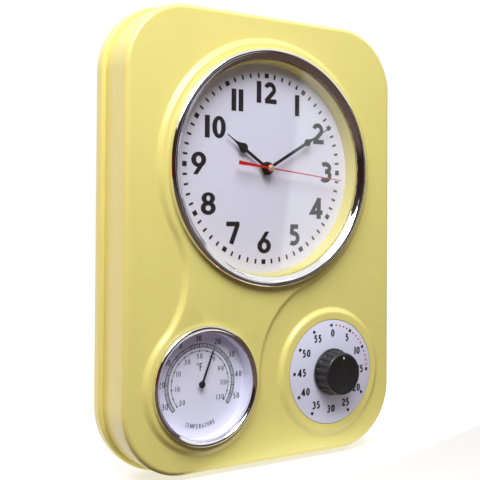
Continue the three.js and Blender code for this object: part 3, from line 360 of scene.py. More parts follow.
def add_thickness(obj, thickness):
    solid = obj.modifiers.new("wall", "SOLIDIFY")
    solid.thickness = thickness * MM
    solid.offset = -1
    solid.use_even_offset = False
    normals = obj.modifiers.new("normals", "WEIGHTED_NORMAL")
    normals.keep_sharp = True


# ---- materials
def new_material(name):
    """A material with its node tree and its shader."""
    material = bpy.data.materials.new(name)
    material.use_nodes = True
    tree = material.node_tree
    return material, tree, tree.nodes["Principled BSDF"]


def set_inputs(node, **values):
    """Sets a node's sockets, whose names are written with _ for each space."""
    for key, value in values.items():
        node.inputs[key.replace("_", " ")].default_value = value


def add_node(tree, kind, **values):
    node = tree.nodes.new("ShaderNode" + kind)
    set_inputs(node, **values)
    return node


def link(tree, source, output, target, socket):
    tree.links.new(source.outputs[output], target.inputs[socket])


def surface(name, color, roughness, metallic=0.0, mottle=0.03, grain=60.0, bump=0.02, wear=0.06, coat=0.0):
    """A moulded, painted or metal surface: fine grain, slight mottling and uneven gloss, in object space."""
    material, tree, shader = new_material(name)
    set_inputs(shader, Metallic=metallic, Coat_Weight=coat, Coat_Roughness=0.12)
    position = add_node(tree, "TexCoord")

    coarse = add_node(tree, "TexNoise", Scale=grain, Detail=4)
    link(tree, position, "Object", coarse, "Vector")
    tone = add_node(tree, "ValToRGB")
    for stop, at, share in zip(tone.color_ramp.elements, (0.3, 0.7), (1 - mottle, 1 + mottle)):
        stop.position = at
        stop.color = [min(c * share, 1) for c in color] + [1]
    link(tree, coarse, "Fac", tone, "Fac")
    link(tree, tone, "Color", shader, "Base Color")

    gloss = add_node(tree, "MapRange", To_Min=max(roughness - wear, 0.02), To_Max=min(roughness + wear, 1.0))
    link(tree, coarse, "Fac", gloss, "Value")
    link(tree, gloss, "Result", shader, "Roughness")

    fine = add_node(tree, "TexNoise", Scale=grain * 22, Detail=3)
    link(tree, position, "Object", fine, "Vector")
    relief = add_node(tree, "Bump", Strength=bump, Distance=0.0002)
    link(tree, fine, "Fac", relief, "Height")
    link(tree, relief, "Normal", shader, "Normal")
    return material


def brushed(name, color, roughness, axis_scale):
    """Metal with fine parallel brush lines: the noise is stretched along one axis."""
    material = surface(name, color, roughness, metallic=1.0, mottle=0.05, grain=80, bump=0.05)
    tree = material.node_tree
    coordinates = next(n for n in tree.nodes if n.type == "TEX_COORD")
    stretch = add_node(tree, "Mapping", Scale=axis_scale)
    link(tree, coordinates, "Object", stretch, "Vector")
    for node in tree.nodes:
        if node.type == "TEX_NOISE":
            link(tree, stretch, "Vector", node, "Vector")
    return material


def clear_plastic(name, sheen_share):
    """Thin clear lens: see-through, with a mirror sheen that grows at a glancing angle."""
    material, tree, sheen = new_material(name)
    set_inputs(sheen, Base_Color=(0.97, 0.98, 0.98, 1), Metallic=1.0)
    through = add_node(tree, "BsdfTransparent", Color=(0.985, 0.99, 0.99, 1))
    facing = add_node(tree, "LayerWeight", Blend=0.5)
    glancing = add_node(tree, "Math")
    glancing.operation = "POWER"
    glancing.inputs[1].default_value = 5.0
    share = add_node(tree, "MapRange", To_Min=sheen_share, To_Max=1.0)
    mix = add_node(tree, "MixShader")
    position = add_node(tree, "TexCoord")
    haze = add_node(tree, "TexNoise", Scale=45)
    gloss = add_node(tree, "MapRange", To_Min=0.02, To_Max=0.06)
    link(tree, position, "Object", haze, "Vector")
    link(tree, haze, "Fac", gloss, "Value")
    link(tree, gloss, "Result", sheen, "Roughness")
    link(tree, facing, "Facing", glancing, 0)
    link(tree, glancing, "Value", share, "Value")
    link(tree, share, "Result", mix, "Fac")
    link(tree, through, "BSDF", mix, 1)
    link(tree, sheen, "BSDF", mix, 2)
    link(tree, mix, "Shader", tree.nodes["Material Output"], "Surface")
    return material


YELLOW = surface("moulded_yellow", (0.76, 0.675, 0.215), 0.3, mottle=0.012, bump=0.015, wear=0.02, coat=0.15)
CHROME = surface("chrome_plate", (0.86, 0.86, 0.87), 0.05, metallic=1.0, mottle=0.01, bump=0.004, wear=0.02)
CLEAR = clear_plastic("clear_lens_plastic", 0.06)
DOME = clear_plastic("clear_dome_plastic", 0.02)
DIAL_WHITE = surface("dial_card", (0.84, 0.83, 1.0), 0.5, mottle=0.01, grain=90, bump=0.01)
DISC_WHITE = surface("timer_disc_card", (0.66, 0.66, 0.82), 0.45, mottle=0.01, grain=90, bump=0.01)
INK_BLACK = surface("ink_black", (0.012, 0.011, 0.012), 0.55, mottle=0.2, grain=300, bump=0.01)
INK_RED = surface("ink_red", (0.62, 0.02, 0.03), 0.55, mottle=0.1, grain=300, bump=0.01)
INK_WHITE = surface("paint_white", (0.8, 0.8, 0.8), 0.5, mottle=0.03, grain=300, bump=0.01)
HAND_BLACK = surface("hand_paint_black", (0.012, 0.012, 0.013), 0.38, mottle=0.1, grain=200, bump=0.02)
HAND_RED = surface("hand_paint_red", (0.62, 0.015, 0.012), 0.35, mottle=0.05, grain=200, bump=0.02)
KNOB_BLACK = surface("knob_plastic", (0.016, 0.016, 0.017), 0.36, mottle=0.12, grain=120, bump=0.05)
BRASS = surface("brass", (0.74, 0.55, 0.24), 0.28, metallic=1.0, mottle=0.06, grain=120, bump=0.03)
CAP_BRASS = surface("cap_lacquer", (0.74, 0.66, 0.4), 0.3, metallic=0.6, mottle=0.04, grain=200, bump=0.02)
STEEL = brushed("sheet_steel", (0.56, 0.57, 0.59), 0.3, (1, 1, 14))
BELL_STEEL = surface("nickel_plate", (0.72, 0.72, 0.74), 0.12, metallic=1.0, mottle=0.04, grain=90, bump=0.02)
ZINC = surface("zinc_screw", (0.6, 0.61, 0.64), 0.3, metallic=1.0, mottle=0.1, grain=260, bump=0.04)
NATURAL = surface("natural_plastic", (0.76, 0.74, 0.67), 0.45, mottle=0.03, grain=120, bump=0.02)
BLACK_PLASTIC = surface("movement_plastic", (0.02, 0.021, 0.024), 0.5, mottle=0.15, grain=200, bump=0.12)
COPPER = brushed("copper_winding", (0.62, 0.27, 0.12), 0.35, (40, 1, 1))
BOARD = surface("solder_mask", (0.03, 0.15, 0.06), 0.35, mottle=0.12, grain=160, bump=0.03)
SLEEVE_DARK = surface("battery_sleeve", (0.03, 0.035, 0.05), 0.3, mottle=0.06, grain=90, bump=0.01)
BAND_GOLD = surface("battery_band", (0.66, 0.42, 0.13), 0.25, metallic=0.7, mottle=0.05, grain=90, bump=0.01)


# ---- front shell
def rolled(steps):
    """Inset and rise of a field's rolled edge, from its foot to its top."""
    pairs = []
    for i in range(steps + 1):
        t = i / steps
        pairs.append((FIELD_SLOPE * t, RELIEF * (t - EASE * math.sin(2 * math.pi * t) / (2 * math.pi))))
    return pairs


def quarter_round(radius, steps):
    """Inset and drop of a rounded edge, from the flat face to the side wall."""
    pairs = []
    for i in range(steps + 1):
        a = math.pi / 2 * i / steps
        pairs.append((radius * (1 - math.sin(a)), radius * (1 - math.cos(a))))
    return pairs


def surface_from_loops(bm, loops, holes):
    """A height field: CDT between loops of (points, z), without the triangles inside the holes."""
    points, edges, heights = [], [], []
    for outline, z in loops:
        start = len(points)
        points += [Vector(p) for p in outline]
        heights += [z] * len(outline)
        edges += [(start + i, start + (i + 1) % len(outline)) for i in range(len(outline))]
    verts, _, faces, origins, *_ = geometry.delaunay_2d_cdt(points, edges, [], 0, 1e-5)
    made = {}

    def vertex(i):
        if i not in made:
            made[i] = bm.verts.new(place(verts[i].x, verts[i].y, heights[origins[i][0]]))
        return made[i]

    for face in faces:
        x = sum(verts[i].x for i in face) / 3
        y = sum(verts[i].y for i in face) / 3
        if not any(inside(x, y) for inside in holes):
            bm.faces.new([vertex(i) for i in face])


def within(centre, radius):
    return lambda x, y: (x - centre[0]) ** 2 + (y - centre[1]) ** 2 < radius**2


def build_front_shell():
    window_lip, cup_r, disc_r, disc_bore_r, disc_floor = 1.0, 39.2, 40.3, 5, FIELD_Z - 0.9
    window_steps, shoulder_gap = 160, 0.08
    loops = [(front_outline(inset), FRONT_Z - drop) for inset, drop in quarter_round(EDGE_R, 8)]
    for inset, rise in rolled(8):
        loops.append((main_field(inset), FRONT_Z + rise))
        loops.append((timer_field(inset), FRONT_Z + rise))
    for inset, drop in quarter_round(window_lip, 3):
        loops.append((circle(CLOCK, CLOCK_WINDOW_R + inset, window_steps), FIELD_Z - drop))
    loops.append((circle(THERMOMETER, cup_r), FIELD_Z))
    loops.append((circle(TIMER, disc_r), FIELD_Z))
    bm = bmesh.new()
    holes = [within(CLOCK, CLOCK_WINDOW_R), within(THERMOMETER, cup_r), within(TIMER, disc_r)]
    surface_from_loops(bm, loops, holes)

    side = add_loop(bm, front_outline(0), FRONT_Z - EDGE_R)
    foot = add_loop(bm, front_outline(0), SHOULDER_Z + shoulder_gap)
    strip(bm, foot, side)
    wall = [(CLOCK_WINDOW_R, FIELD_Z - window_lip), (DIAL_WINDOW_R, DIAL_Z + GAP)]
    strips(bm, [add_loop(bm, circle(CLOCK, r, window_steps), z) for r, z in wall])
    recess = [(disc_r, FIELD_Z), (disc_r, disc_floor), (disc_bore_r, disc_floor)]
    strips(bm, [add_loop(bm, circle(TIMER, r), z) for r, z in recess])
    shell = finish_mesh("front_shell", bm, YELLOW, "casing", ["front_housing"], sharp=50)
    add_thickness(shell, WALL)


# ---- rear shell
SCREW_X, SCREW_TOP, SCREW_FOOT = 92, 138, -146
SCREW_PLACES = [(-SCREW_X, SCREW_TOP), (SCREW_X, SCREW_TOP), (-SCREW_X, SCREW_FOOT), (SCREW_X, SCREW_FOOT)]
WINDOW = (66, 62, 5, (0, 49))  # width, height, corner radius and centre of the movement's opening
HANGER_Y = 137
VENT_PITCH = 7
VENT_SIZE = (32, 2.2)
VENT_END_R = 1.0
VENTS = [(TIMER.x, TIMER.y + (i - 2) * VENT_PITCH) for i in range(5)]
POCKET = (26, 26, 1.5, (0, HANGER_Y - 4))
POCKET_HOLE = (16, 13, 1.5, (0, HANGER_Y - 0.5))
LIP_HEIGHT = 3.8


def in_box(width, height, centre):
    return lambda x, y: abs(x - centre[0]) < width / 2 and abs(y - centre[1]) < height / 2


def build_rear_shell():
    edge, well_r, well_z, screw_bore_r, pocket_z = 1.8, 4.0, 9.6, 1.9, 1.1
    window, pocket = (rounded_rectangle(*shape, steps=8) for shape in (WINDOW, POCKET))
    outlines = [rear_outline(edge), window, pocket]
    outlines += [circle(at, well_r, 32) for at in SCREW_PLACES]
    outlines += [rounded_rectangle(*VENT_SIZE, VENT_END_R, at, 4) for at in VENTS]
    holes = [in_box(*shape[:2], shape[3]) for shape in (WINDOW, POCKET)]
    holes += [within(at, well_r) for at in SCREW_PLACES]
    holes += [in_box(*VENT_SIZE, at) for at in VENTS]
    bm = bmesh.new()
    surface_from_loops(bm, [(outline, 0) for outline in outlines], holes)
    bmesh.ops.reverse_faces(bm, faces=bm.faces)

    lip = STEP + WALL + 2 * GAP
    edges = quarter_round(edge, 6)
    rings = edges + [(drop, SHOULDER_Z - inset) for inset, drop in edges]
    rings += [(lip, SHOULDER_Z), (lip, SHOULDER_Z + LIP_HEIGHT)]
    strips(bm, [add_loop(bm, rear_outline(inset), z) for inset, z in rings])

    for at in SCREW_PLACES:
        well = [(screw_bore_r, well_z), (well_r, well_z), (well_r, 0)]
        strips(bm, [add_loop(bm, circle(at, radius, 32), z) for radius, z in well])
    hole = rounded_rectangle(*POCKET_HOLE, steps=8)
    strips(bm, [add_loop(bm, hole, pocket_z), add_loop(bm, pocket, pocket_z), add_loop(bm, pocket, 0)])
    shell = finish_mesh("rear_shell", bm, YELLOW, "casing", ["rear_housing"], sharp=50)
    add_thickness(shell, REAR_WALL)


build_front_shell()
build_rear_shell()

# ---- bezels and lenses
SEAT_Z = FIELD_Z + GAP  # what lies on the raised field starts here
LENS_TOP = SEAT_Z + 1.4
BEAD_SWEEP = math.pi * 0.86  # from the outer side over the crest


def bead(outer, foot, top, radius, steps=12):
    """The rounded outer part of a bezel, from its outer foot over the crest to its inner side."""
    points = [(outer, foot)]
    for i in range(steps + 1):
        a = BEAD_SWEEP * i / steps
        points.append((outer - radius + radius * math.cos(a), top - radius + radius * math.sin(a)))
    return points


def build_clock_bezel():
    outer, inner, rebate, top = 88.3, 80.9, 84.6, 49.3
    profile = [(rebate, SEAT_Z)] + bead(outer, SEAT_Z, top, 2.5) + [(inner + 0.4, LENS_TOP + 1.0)]
    profile += [(inner, LENS_TOP + 0.6), (inner, LENS_TOP + GAP), (rebate, LENS_TOP + GAP)]
    turned("clock_bezel_ring", profile, CLOCK, CHROME, "casing", ["clock_bezel"], 192)


def build_thermometer_bezel():
    outer, inner, rebate, top = 42.3, 38.6, 41.5, 47.5
    profile = [(rebate, SEAT_Z)] + bead(outer, SEAT_Z, top, 1.4, 10) + [(inner, SEAT_Z + 1.9)]
    profile += [(39.1, SEAT_Z + 1.4), (rebate, SEAT_Z + 1.2)]
    name = "thermometer_bezel_ring"
    turned(name, profile, THERMOMETER, CHROME, "casing", ["thermometer_bezel"], 128)


def build_lenses():
    lens_r = 84
    disc = [(0, SEAT_Z), (lens_r, SEAT_Z), (lens_r + 0.2, SEAT_Z + 0.7), (lens_r, LENS_TOP), (0, LENS_TOP)]
    turned("clock_glass", disc, CLOCK, CLEAR, "casing", ["clock_lens"], 128)
    dome_r, crown_r, rise, thickness, rim = 38.4, 34, 1.6, 1.2, FIELD_Z + 1 + GAP
    under, over = [], []
    for i in range(9):
        r = crown_r * i / 8
        height = rise * (1 - (r / crown_r) ** 2)
        under.append((r, rim + height))
        over.append((r, rim + thickness + height * 1.05))
    dome = under + [(dome_r, rim), (dome_r, rim + 1)] + over[::-1]
    turned("thermometer_glass", dome, THERMOMETER, DOME, "casing", ["thermometer_lens"], 96)


build_clock_bezel()
build_thermometer_bezel()
build_lenses()

# ---- numerals
# Strokes in a box one unit high. Each is a centre line that a pen of the stated weight follows.
GLYPH_WIDTH = {
    "0": 0.46, "1": 0.0, "2": 0.47, "3": 0.43, "4": 0.55, "5": 0.42, "6": 0.5, "7": 0.54, "8": 0.52,
    "9": 0.51, "-": 0.3,
    "A": 0.56, "E": 0.36, "F": 0.38, "M": 0.62, "P": 0.38, "R": 0.4, "T": 0.46, "U": 0.46,
}  # fmt: skip
SLIM = 0.8  # width of the small lettering as a share of the large numerals' width
BOLD = 0.25  # pens up to this weight are for small lettering
FINE = 0.82  # weight of a light stroke as a share of a heavy one
ROUND_FIGURES = "0689"


def sweep(cx, cy, rx, ry, start, end, steps=16):
    """Elliptical arc in degrees, both ends included."""
    points = []
    for i in range(steps + 1):
        a = math.radians(start + (end - start) * i / steps)
        points.append((cx + rx * math.cos(a), cy + ry * math.sin(a)))
    return points


def glyph_width(character, pen):
    return GLYPH_WIDTH[character] * (1 if pen > BOLD else SLIM)


def strokes(character, w, pen):
    """Strokes of a character as (weight, centre line). Its outline fills one unit in height."""
    middle = w / 2
    light = pen * FINE
    h = light / 2
    top, foot = 1 - h, h
    upper, lower = 0.255 - h * 0.6, 0.29 - h * 0.6
    if character == "1":
        return [(pen, [(0, 0), (0, 1)])]
    if character == "2":
        hook = sweep(middle, top - middle, middle, middle, 160, -28, 18)
        return [(light, hook + [(0, foot)]), (light, [(-h * 0.4, foot), (w + pen * 0.55, foot)])]
    if character == "3":
        above = sweep(w * 0.36, top - upper, w * 0.6, upper, 136, -90, 18)
        below = sweep(w * 0.32, foot + lower, w * 0.68, lower, 90, -138, 18)
        return [(light, above), (light, below)]
    if character == "4":
        return [(pen, [(w * 0.76, 0), (w * 0.76, 1)]), (light, [(w * 0.72, top), (0, 0.3), (w + h, 0.3)])]
    if character == "5":
        bowl_line = sweep(w * 0.34, foot + lower * 1.05, w * 0.62, lower * 1.05, 112, -128, 22)
        return [(light, [(w, top), (w * 0.16, top), (w * 0.1, 0.52)]), (light, bowl_line)]
    if character == "7":
        return [(light, [(-h, top), (w + h * 0.6, top)]), (pen * 0.9, [(w * 0.96, top), (w * 0.3, 0)])]
    if character == "-":
        return [(light, [(0, 0.42), (w, 0.42)])]
    return [(light, line) for line in letter(character, w, top, foot)]


def letter(character, w, top, foot):
    middle = w / 2
    stem = [(0, 0), (0, 1)]
    head = [(0, top)] + sweep(w * 0.5, top - 0.22, w * 0.45, 0.22, 90, -90, 12) + [(0, top - 0.44)]
    arm = [(0, top), (w, top)]
    lines = {
        "A": [[(0, 0), (middle, 1), (w, 0)], [(w * 0.16, 0.3), (w * 0.84, 0.3)]],
        "E": [stem, arm, [(0, 0.5), (w * 0.9, 0.5)], [(0, foot), (w, foot)]],
        "F": [stem, arm, [(0, 0.5), (w * 0.9, 0.5)]],
        "M": [stem, [(0, 1), (middle, 0.2), (w, 1)], [(w, 0), (w, 1)]],
        "P": [stem, head],
        "R": [stem, head, [(w * 0.45, 0.5), (w, 0)]],
        "T": [arm, [(middle, 0), (middle, 1)]],
        "U": [[(0, 1)] + sweep(middle, foot + middle, middle, middle, 180, 360, 14) + [(w, 1)]],
    }
    return lines[character]


def pen_pieces(line, pen):
    """Triangles that cover a centre line, mitred where it bends."""
    points = [Vector(p) for p in line]
    shut = (points[0] - points[-1]).length < 1e-6
    sides = []
    for i, here in enumerate(points):
        before = points[i - 1] if i else (points[-2] if shut else None)
        after = points[i + 1] if i + 1 < len(points) else (points[1] if shut else None)
        a = (here - before).normalized() if before is not None else None
        b = (after - here).normalized() if after is not None else None
        direction = (a + b).normalized() if a is not None and b is not None else (a or b)
        reach = pen / 2
        if a is not None and b is not None:
            reach /= max(direction.dot(a), 0.5)
        across = Vector((-direction.y, direction.x)) * reach
        sides.append((here + across, here - across))
    pieces = []
    for p, q in zip(sides, sides[1:]):
        pieces += [[p[0], q[0], q[1]], [p[0], q[1], p[1]]]
    return pieces


def bowl(middle, level, rx, ry, side, cap, steps=36):
    """Pieces of an oval band, thicker at its sides than at its top and foot."""
    outer = sweep(middle, level, rx, ry, 0, 360, steps)
    inner = sweep(middle, level, rx - side, ry - cap, 0, 360, steps)
    pieces = []
    for i in range(steps):
        pieces += [[inner[i], outer[i], outer[i + 1]], [inner[i], outer[i + 1], inner[i + 1]]]
    return pieces


def bowls(character, w, pen):
    """Pieces of the round figures, whose sides are heavier than their tops."""
    middle, reach, side, cap = w / 2, (w + pen) / 2, pen * 0.97, pen * FINE * 0.85
    if character == "0":
        return bowl(middle, 0.5, reach, 0.5, side, cap)
    if character == "8":
        above = bowl(middle, 0.735, reach * 0.9, 0.265, side, cap * 0.8)
        return above + bowl(middle, 0.3, reach, 0.3, side, cap)
    heel, toe = (pen * -0.12, 0), (pen * 0.78, 0)
    knee, crook = (middle + reach * 0.96, 0.58), (middle + reach * 0.3, 0.58)
    nine = bowl(middle, 0.66, reach, 0.34, side, cap) + [[heel, toe, knee], [heel, knee, crook]]
    if character == "6":
        return [[(w - x, 1 - y) for x, y in piece] for piece in nine]
    return nine


def word_polygons(word, centre, height, pen, degrees=0.0, spacing=0.16):
    """Outlines of a word whose middle lies at centre, turned clockwise by degrees."""
    polygons = []
    x = 0.0
    for character in word:
        w = glyph_width(character, pen)
        x += pen / 2
        if character in ROUND_FIGURES:
            pieces = bowls(character, w, pen)
        else:
            lines = strokes(character, w, pen)
            pieces = [piece for weight, line in lines for piece in pen_pieces(line, weight)]
        for piece in pieces:
            polygons.append([(px + x, py) for px, py in piece])
        x += w + pen / 2 + spacing
    width = x - spacing
    result = []
    for polygon in polygons:
        local = [((px - width / 2) * height, (py - 0.5) * height) for px, py in polygon]
        result.append(turn(local, degrees, centre))
    return result


def bar_mark(centre, radius, degrees, width, length):
    """A mark that lies along a radius."""
    local = [(-width / 2, radius - length / 2), (width / 2, radius - length / 2)]
    local += [(width / 2, radius + length / 2), (-width / 2, radius + length / 2)]
    return turn(local, degrees, centre)


def ring_band(centre, radius, width, start, end, steps=96):
    """Quads along an arc between two clock angles."""
    quads = []
    for i in range(steps):
        a = start + (end - start) * i / steps
        b = start + (end - start) * (i + 1) / steps
        inner, outer = radius - width / 2, radius + width / 2
        corners = ((inner, a), (inner, b), (outer, b), (outer, a))
        quads.append([on_dial(centre, r, angle) for r, angle in corners])
    return quads


def print_on(name, polygons, z, material):
    slab(name, polygons, z + INK_GAP, z + INK_GAP + INK, material, "casing")


# ---- clock dial and hands
NUMERAL_HEIGHT = 16.3
NUMERAL_PEN = 0.255
NUMERAL_R = 57.4
DIAL_SLIP = 0.8  # the printed dial sits slightly turned
# Sideways and upwards, where the setting of the numerals is not quite even.
NUMERAL_SHIFT = {
    12: (0.2, 0), 1: (0.5, 0.4), 2: (0.1, 1.2), 3: (1.7, 0), 6: (0.4, 1.8), 7: (1.1, 1.1), 8: (0.2, 0.9),
    9: (-0.8, 1.0), 10: (5.0, -0.7), 11: (2.7, -0.4),
}  # fmt: skip
TICK_R = 70
TICK_LENGTH = 3.6
HOUR_TICK = 3.6
MINUTE_TICK = 1.5


def build_clock_dial():
    bore_r, dial_r, back = 5, 81, DIAL_Z - 0.4
    dial = [(bore_r, back), (dial_r, back), (dial_r, DIAL_Z), (bore_r, DIAL_Z)]
    turned("clock_face", dial, CLOCK, DIAL_WHITE, "casing", ["clock_dial"], 128)
    marks = []
    for minute in range(60):
        width = MINUTE_TICK if minute % 5 else HOUR_TICK
        marks.append(bar_mark(CLOCK, TICK_R, minute * 6 + DIAL_SLIP, width, TICK_LENGTH))
    for hour in range(1, 13):
        at = on_dial(CLOCK, NUMERAL_R, hour * 30 + DIAL_SLIP) + Vector(NUMERAL_SHIFT.get(hour, (0, 0)))
        marks += word_polygons(str(hour), at, NUMERAL_HEIGHT, NUMERAL_PEN, spacing=0.13)
    print_on("clock_numerals", marks, DIAL_Z, INK_BLACK)


def spade_hand(length, stem, bulb_at, bulb_r, tip, hub_r, taper):
    """A hand that points up: hub, stem, drop-shaped bulb and long fine tip."""
    hub = arc((0, 0), hub_r, math.radians(96), math.radians(444), 40)
    right = [(stem / 2, hub_r), (stem / 2, bulb_at - bulb_r)]
    right += arc((0, bulb_at), bulb_r, math.radians(-62), math.radians(22), 12)
    shoulder = Vector(right[-1])
    reach = length - shoulder.y
    for i in range(1, 17):
        t = i / 16
        x = (shoulder.x - tip / 2) * (1 - t) ** taper + tip / 2
        right.append((x, shoulder.y + reach * t))
    return hub + right + [(-x, y) for x, y in reversed(right)]


def build_hands():
    hour_low, hour_high = (corner.z for corner in node_box("hour_hand"))
    minute_low, minute_high = (corner.z for corner in node_box("minute_hand"))
    hour = spade_hand(length=42.6, stem=2.4, bulb_at=26.0, bulb_r=3.8, tip=0.8, hub_r=5.0, taper=3.6)
    minute = spade_hand(length=68.6, stem=2.3, bulb_at=41.6, bulb_r=2.8, tip=0.8, hub_r=4.2, taper=8.5)
    slab(
        "hour_blade", [turn(hour, HOUR_ANGLE, CLOCK), circle(CLOCK, 2.6, 32)], hour_low, hour_high,
        HAND_BLACK, "hours", ["hour_hand"], holes=True, bevel=0.14,
    )
    slab(
        "minute_blade", [turn(minute, MINUTE_ANGLE, CLOCK), circle(CLOCK, 1.65, 32)], minute_low,
        minute_high, HAND_BLACK, "minutes", ["minute_hand"], holes=True, bevel=0.14,
    )
    low = 41.4
    high = low + 0.4
    needle = [(-0.55, 0), (-1.5, -28.7), (1.5, -28.7), (0.55, 0), (0.3, 68), (-0.3, 68)]
    slab(
        "second_blade", [turn(needle, SECOND_ANGLE, CLOCK), circle(CLOCK, 3.1, 48)], low, high,
        HAND_RED, "seconds", ["second_hand"], bevel=0.1,
    )
    cap = rounded([(0, high), (2.5, high), (2.3, high + 1.4), (0, high + 1.7)], 0.5)
    turned("second_cap", cap, CLOCK, CAP_BRASS, "seconds", segments=48)
    boss = [(1.0, low - 1.1), (2.1, low - 1.1), (2.1, low), (1.0, low)]
    turned("second_boss", boss, CLOCK, CAP_BRASS, "seconds", segments=40)
    sleeve = [(1.8, hour_high), (3.6, hour_high), (3.4, hour_high + 0.7), (1.8, hour_high + 0.7)]
    turned("hour_collet", sleeve, CLOCK, HAND_BLACK, "hours", segments=40)


build_clock_dial()
build_hands()

# ---- thermometer
CELSIUS_STEP = 2.8  # degrees of dial per degree Celsius, with 10 at the top
FAHRENHEIT_STEP = CELSIUS_STEP / 1.8
SCALE_SLIP = -2.0  # the card sits slightly turned behind its pointer
CUP_FLOOR = 30.6
CELSIUS_RAILS = (28.7, 26.2)
CELSIUS_R = 32.6  # middle of the figures
FAHRENHEIT_RAIL = 23.6
FAHRENHEIT_R = 19.8
WORD_R = 29.8


def build_thermometer():
    z = THERMOMETER_DIAL_Z
    dial = [(1.2, z - 0.6), (37.5, z - 0.6), (37.5, z), (1.2, z)]
    turned("thermometer_face", dial, THERMOMETER, DIAL_WHITE, "casing", ["thermometer_dial"])
    cup = [(1.1, CUP_FLOOR), (36, CUP_FLOOR), (38.4, CUP_FLOOR + 2.4), (38.6, SEAT_Z), (41, SEAT_Z)]
    cup += [(41, FIELD_Z + 1), (37.8, FIELD_Z + 1), (37.6, CUP_FLOOR + 2.8), (35.4, CUP_FLOOR + 1.2)]
    cup += [(1.1, CUP_FLOOR + 1.2)]
    turned("thermometer_cup", cup, THERMOMETER, DIAL_WHITE, "casing", ["thermometer_case"])

    def celsius(degree):
        return (degree - 10) * CELSIUS_STEP + SCALE_SLIP

    def fahrenheit(degree):
        return (degree - 50) * FAHRENHEIT_STEP + SCALE_SLIP

    marks = []
    for radius in CELSIUS_RAILS:
        marks += ring_band(THERMOMETER, radius, 0.42, celsius(-35), celsius(55))
    for degree in range(-35, 56):
        width = 0.36 if degree % 5 else 0.62
        middle, length = sum(CELSIUS_RAILS) / 2, CELSIUS_RAILS[0] - CELSIUS_RAILS[1]
        marks.append(bar_mark(THERMOMETER, middle, celsius(degree), width, length))
    for degree in range(-30, 51, 10):
        at = on_dial(THERMOMETER, CELSIUS_R, celsius(degree))
        marks += word_polygons(str(degree), at, 4.2, 0.14, spacing=0.22)
    marks += ring_band(THERMOMETER, FAHRENHEIT_RAIL, 0.3, fahrenheit(-30), fahrenheit(130))
    for degree in range(-30, 131, 10):
        marks.append(circle(on_dial(THERMOMETER, FAHRENHEIT_RAIL, fahrenheit(degree)), 0.6, 10))
        if degree % 20 == 10:
            at = on_dial(THERMOMETER, FAHRENHEIT_R, fahrenheit(degree))
            marks += word_polygons(str(degree), at, 3.6, 0.13, spacing=0.3)
    marks += word_polygons("F", THERMOMETER + Vector((0.6, 12.2)), 5.4, 0.15)
    marks += ring_band(THERMOMETER + Vector((-2.0, 14.2)), 0.75, 0.35, 0, 360, 16)
    word, pitch = "TEMPERATURE", 4.5
    for i, character in enumerate(word):
        angle = 180 - (i - (len(word) - 1) / 2) * pitch
        at = on_dial(THERMOMETER, WORD_R, angle)
        marks += word_polygons(character, at, 3.2, 0.13, degrees=angle - 180)
    print_on("thermometer_scale", marks, z, INK_BLACK)

    low, high = 38.6, 38.95
    needle = [(-0.8, -2.4), (0.8, -2.4), (0.9, 0), (0.6, 25.2), (-0.6, 25.2), (-0.9, 0)]
    outline = turn(needle, POINTER_ANGLE, THERMOMETER)
    slab(
        "pointer_blade", [outline, circle(THERMOMETER, 2.6, 40)], low, high, HAND_BLACK,
        "temperature", ["thermometer_pointer"], bevel=0.08,
    )
    hub = rounded([(0, high), (2.4, high), (2.2, high + 0.55), (0, high + 0.65)], 0.25)
    turned("pointer_hub", hub, THERMOMETER, HAND_BLACK, "temperature", segments=40)


build_thermometer()

# ---- timer
KNOB_FRONT_Z = node_box("timer_knob")[1].z
KNOB_FLUTES = 20
FLUTE_POINTS = 14  # points round each flute
DISC_SLIP = 1.6  # the disc sits slightly turned
MINUTE_MARK_R = 35.7
MINUTE_FIGURE_R = 29.2
RED_DOT_R = 35.9


def build_timer_disc():
    z = TIMER_DISC_Z
    disc = [(5, z - 0.6), (39.8, z - 0.6), (39.8, z - 0.1), (39.6, z), (5, z)]
    turned("timer_disc", disc, TIMER, DISC_WHITE, "casing", ["timer_dial"], 128)
    marks, dots = [], []
    for minute in range(5, 60, 5):
        if minute != 30:
            marks.append(bar_mark(TIMER, MINUTE_MARK_R, minute * 6 + DISC_SLIP, 2.2, 2.2))
    arrow = [(-2.1, 0), (1.0, -1.5), (1.0, 1.5)]
    marks.append([(TIMER.x + x, TIMER.y + 35.8 + y) for x, y in turn(arrow, DISC_SLIP)])
    for minute in range(0, 60, 5):
        at = on_dial(TIMER, MINUTE_FIGURE_R, minute * 6 + DISC_SLIP) + Vector((0.5, 0.5))
        marks += word_polygons(str(minute), at, 5.8, 0.24, spacing=0.12)
    for minute in range(1, 15):
        if minute % 5:
            dots.append(circle(on_dial(TIMER, RED_DOT_R, minute * 6 + DISC_SLIP), 0.72, 12))
    print_on("timer_numerals", marks, z, INK_BLACK)
    print_on("timer_red_dots", dots, z, INK_RED)


def flute(i):
    """Share of a flute's depth at a point of the knob's side: broad ribs with narrower hollows."""
    wave = math.cos(2 * math.pi * i / FLUTE_POINTS)
    return 1 / (1 + math.exp(-(wave + 0.05) * 7))


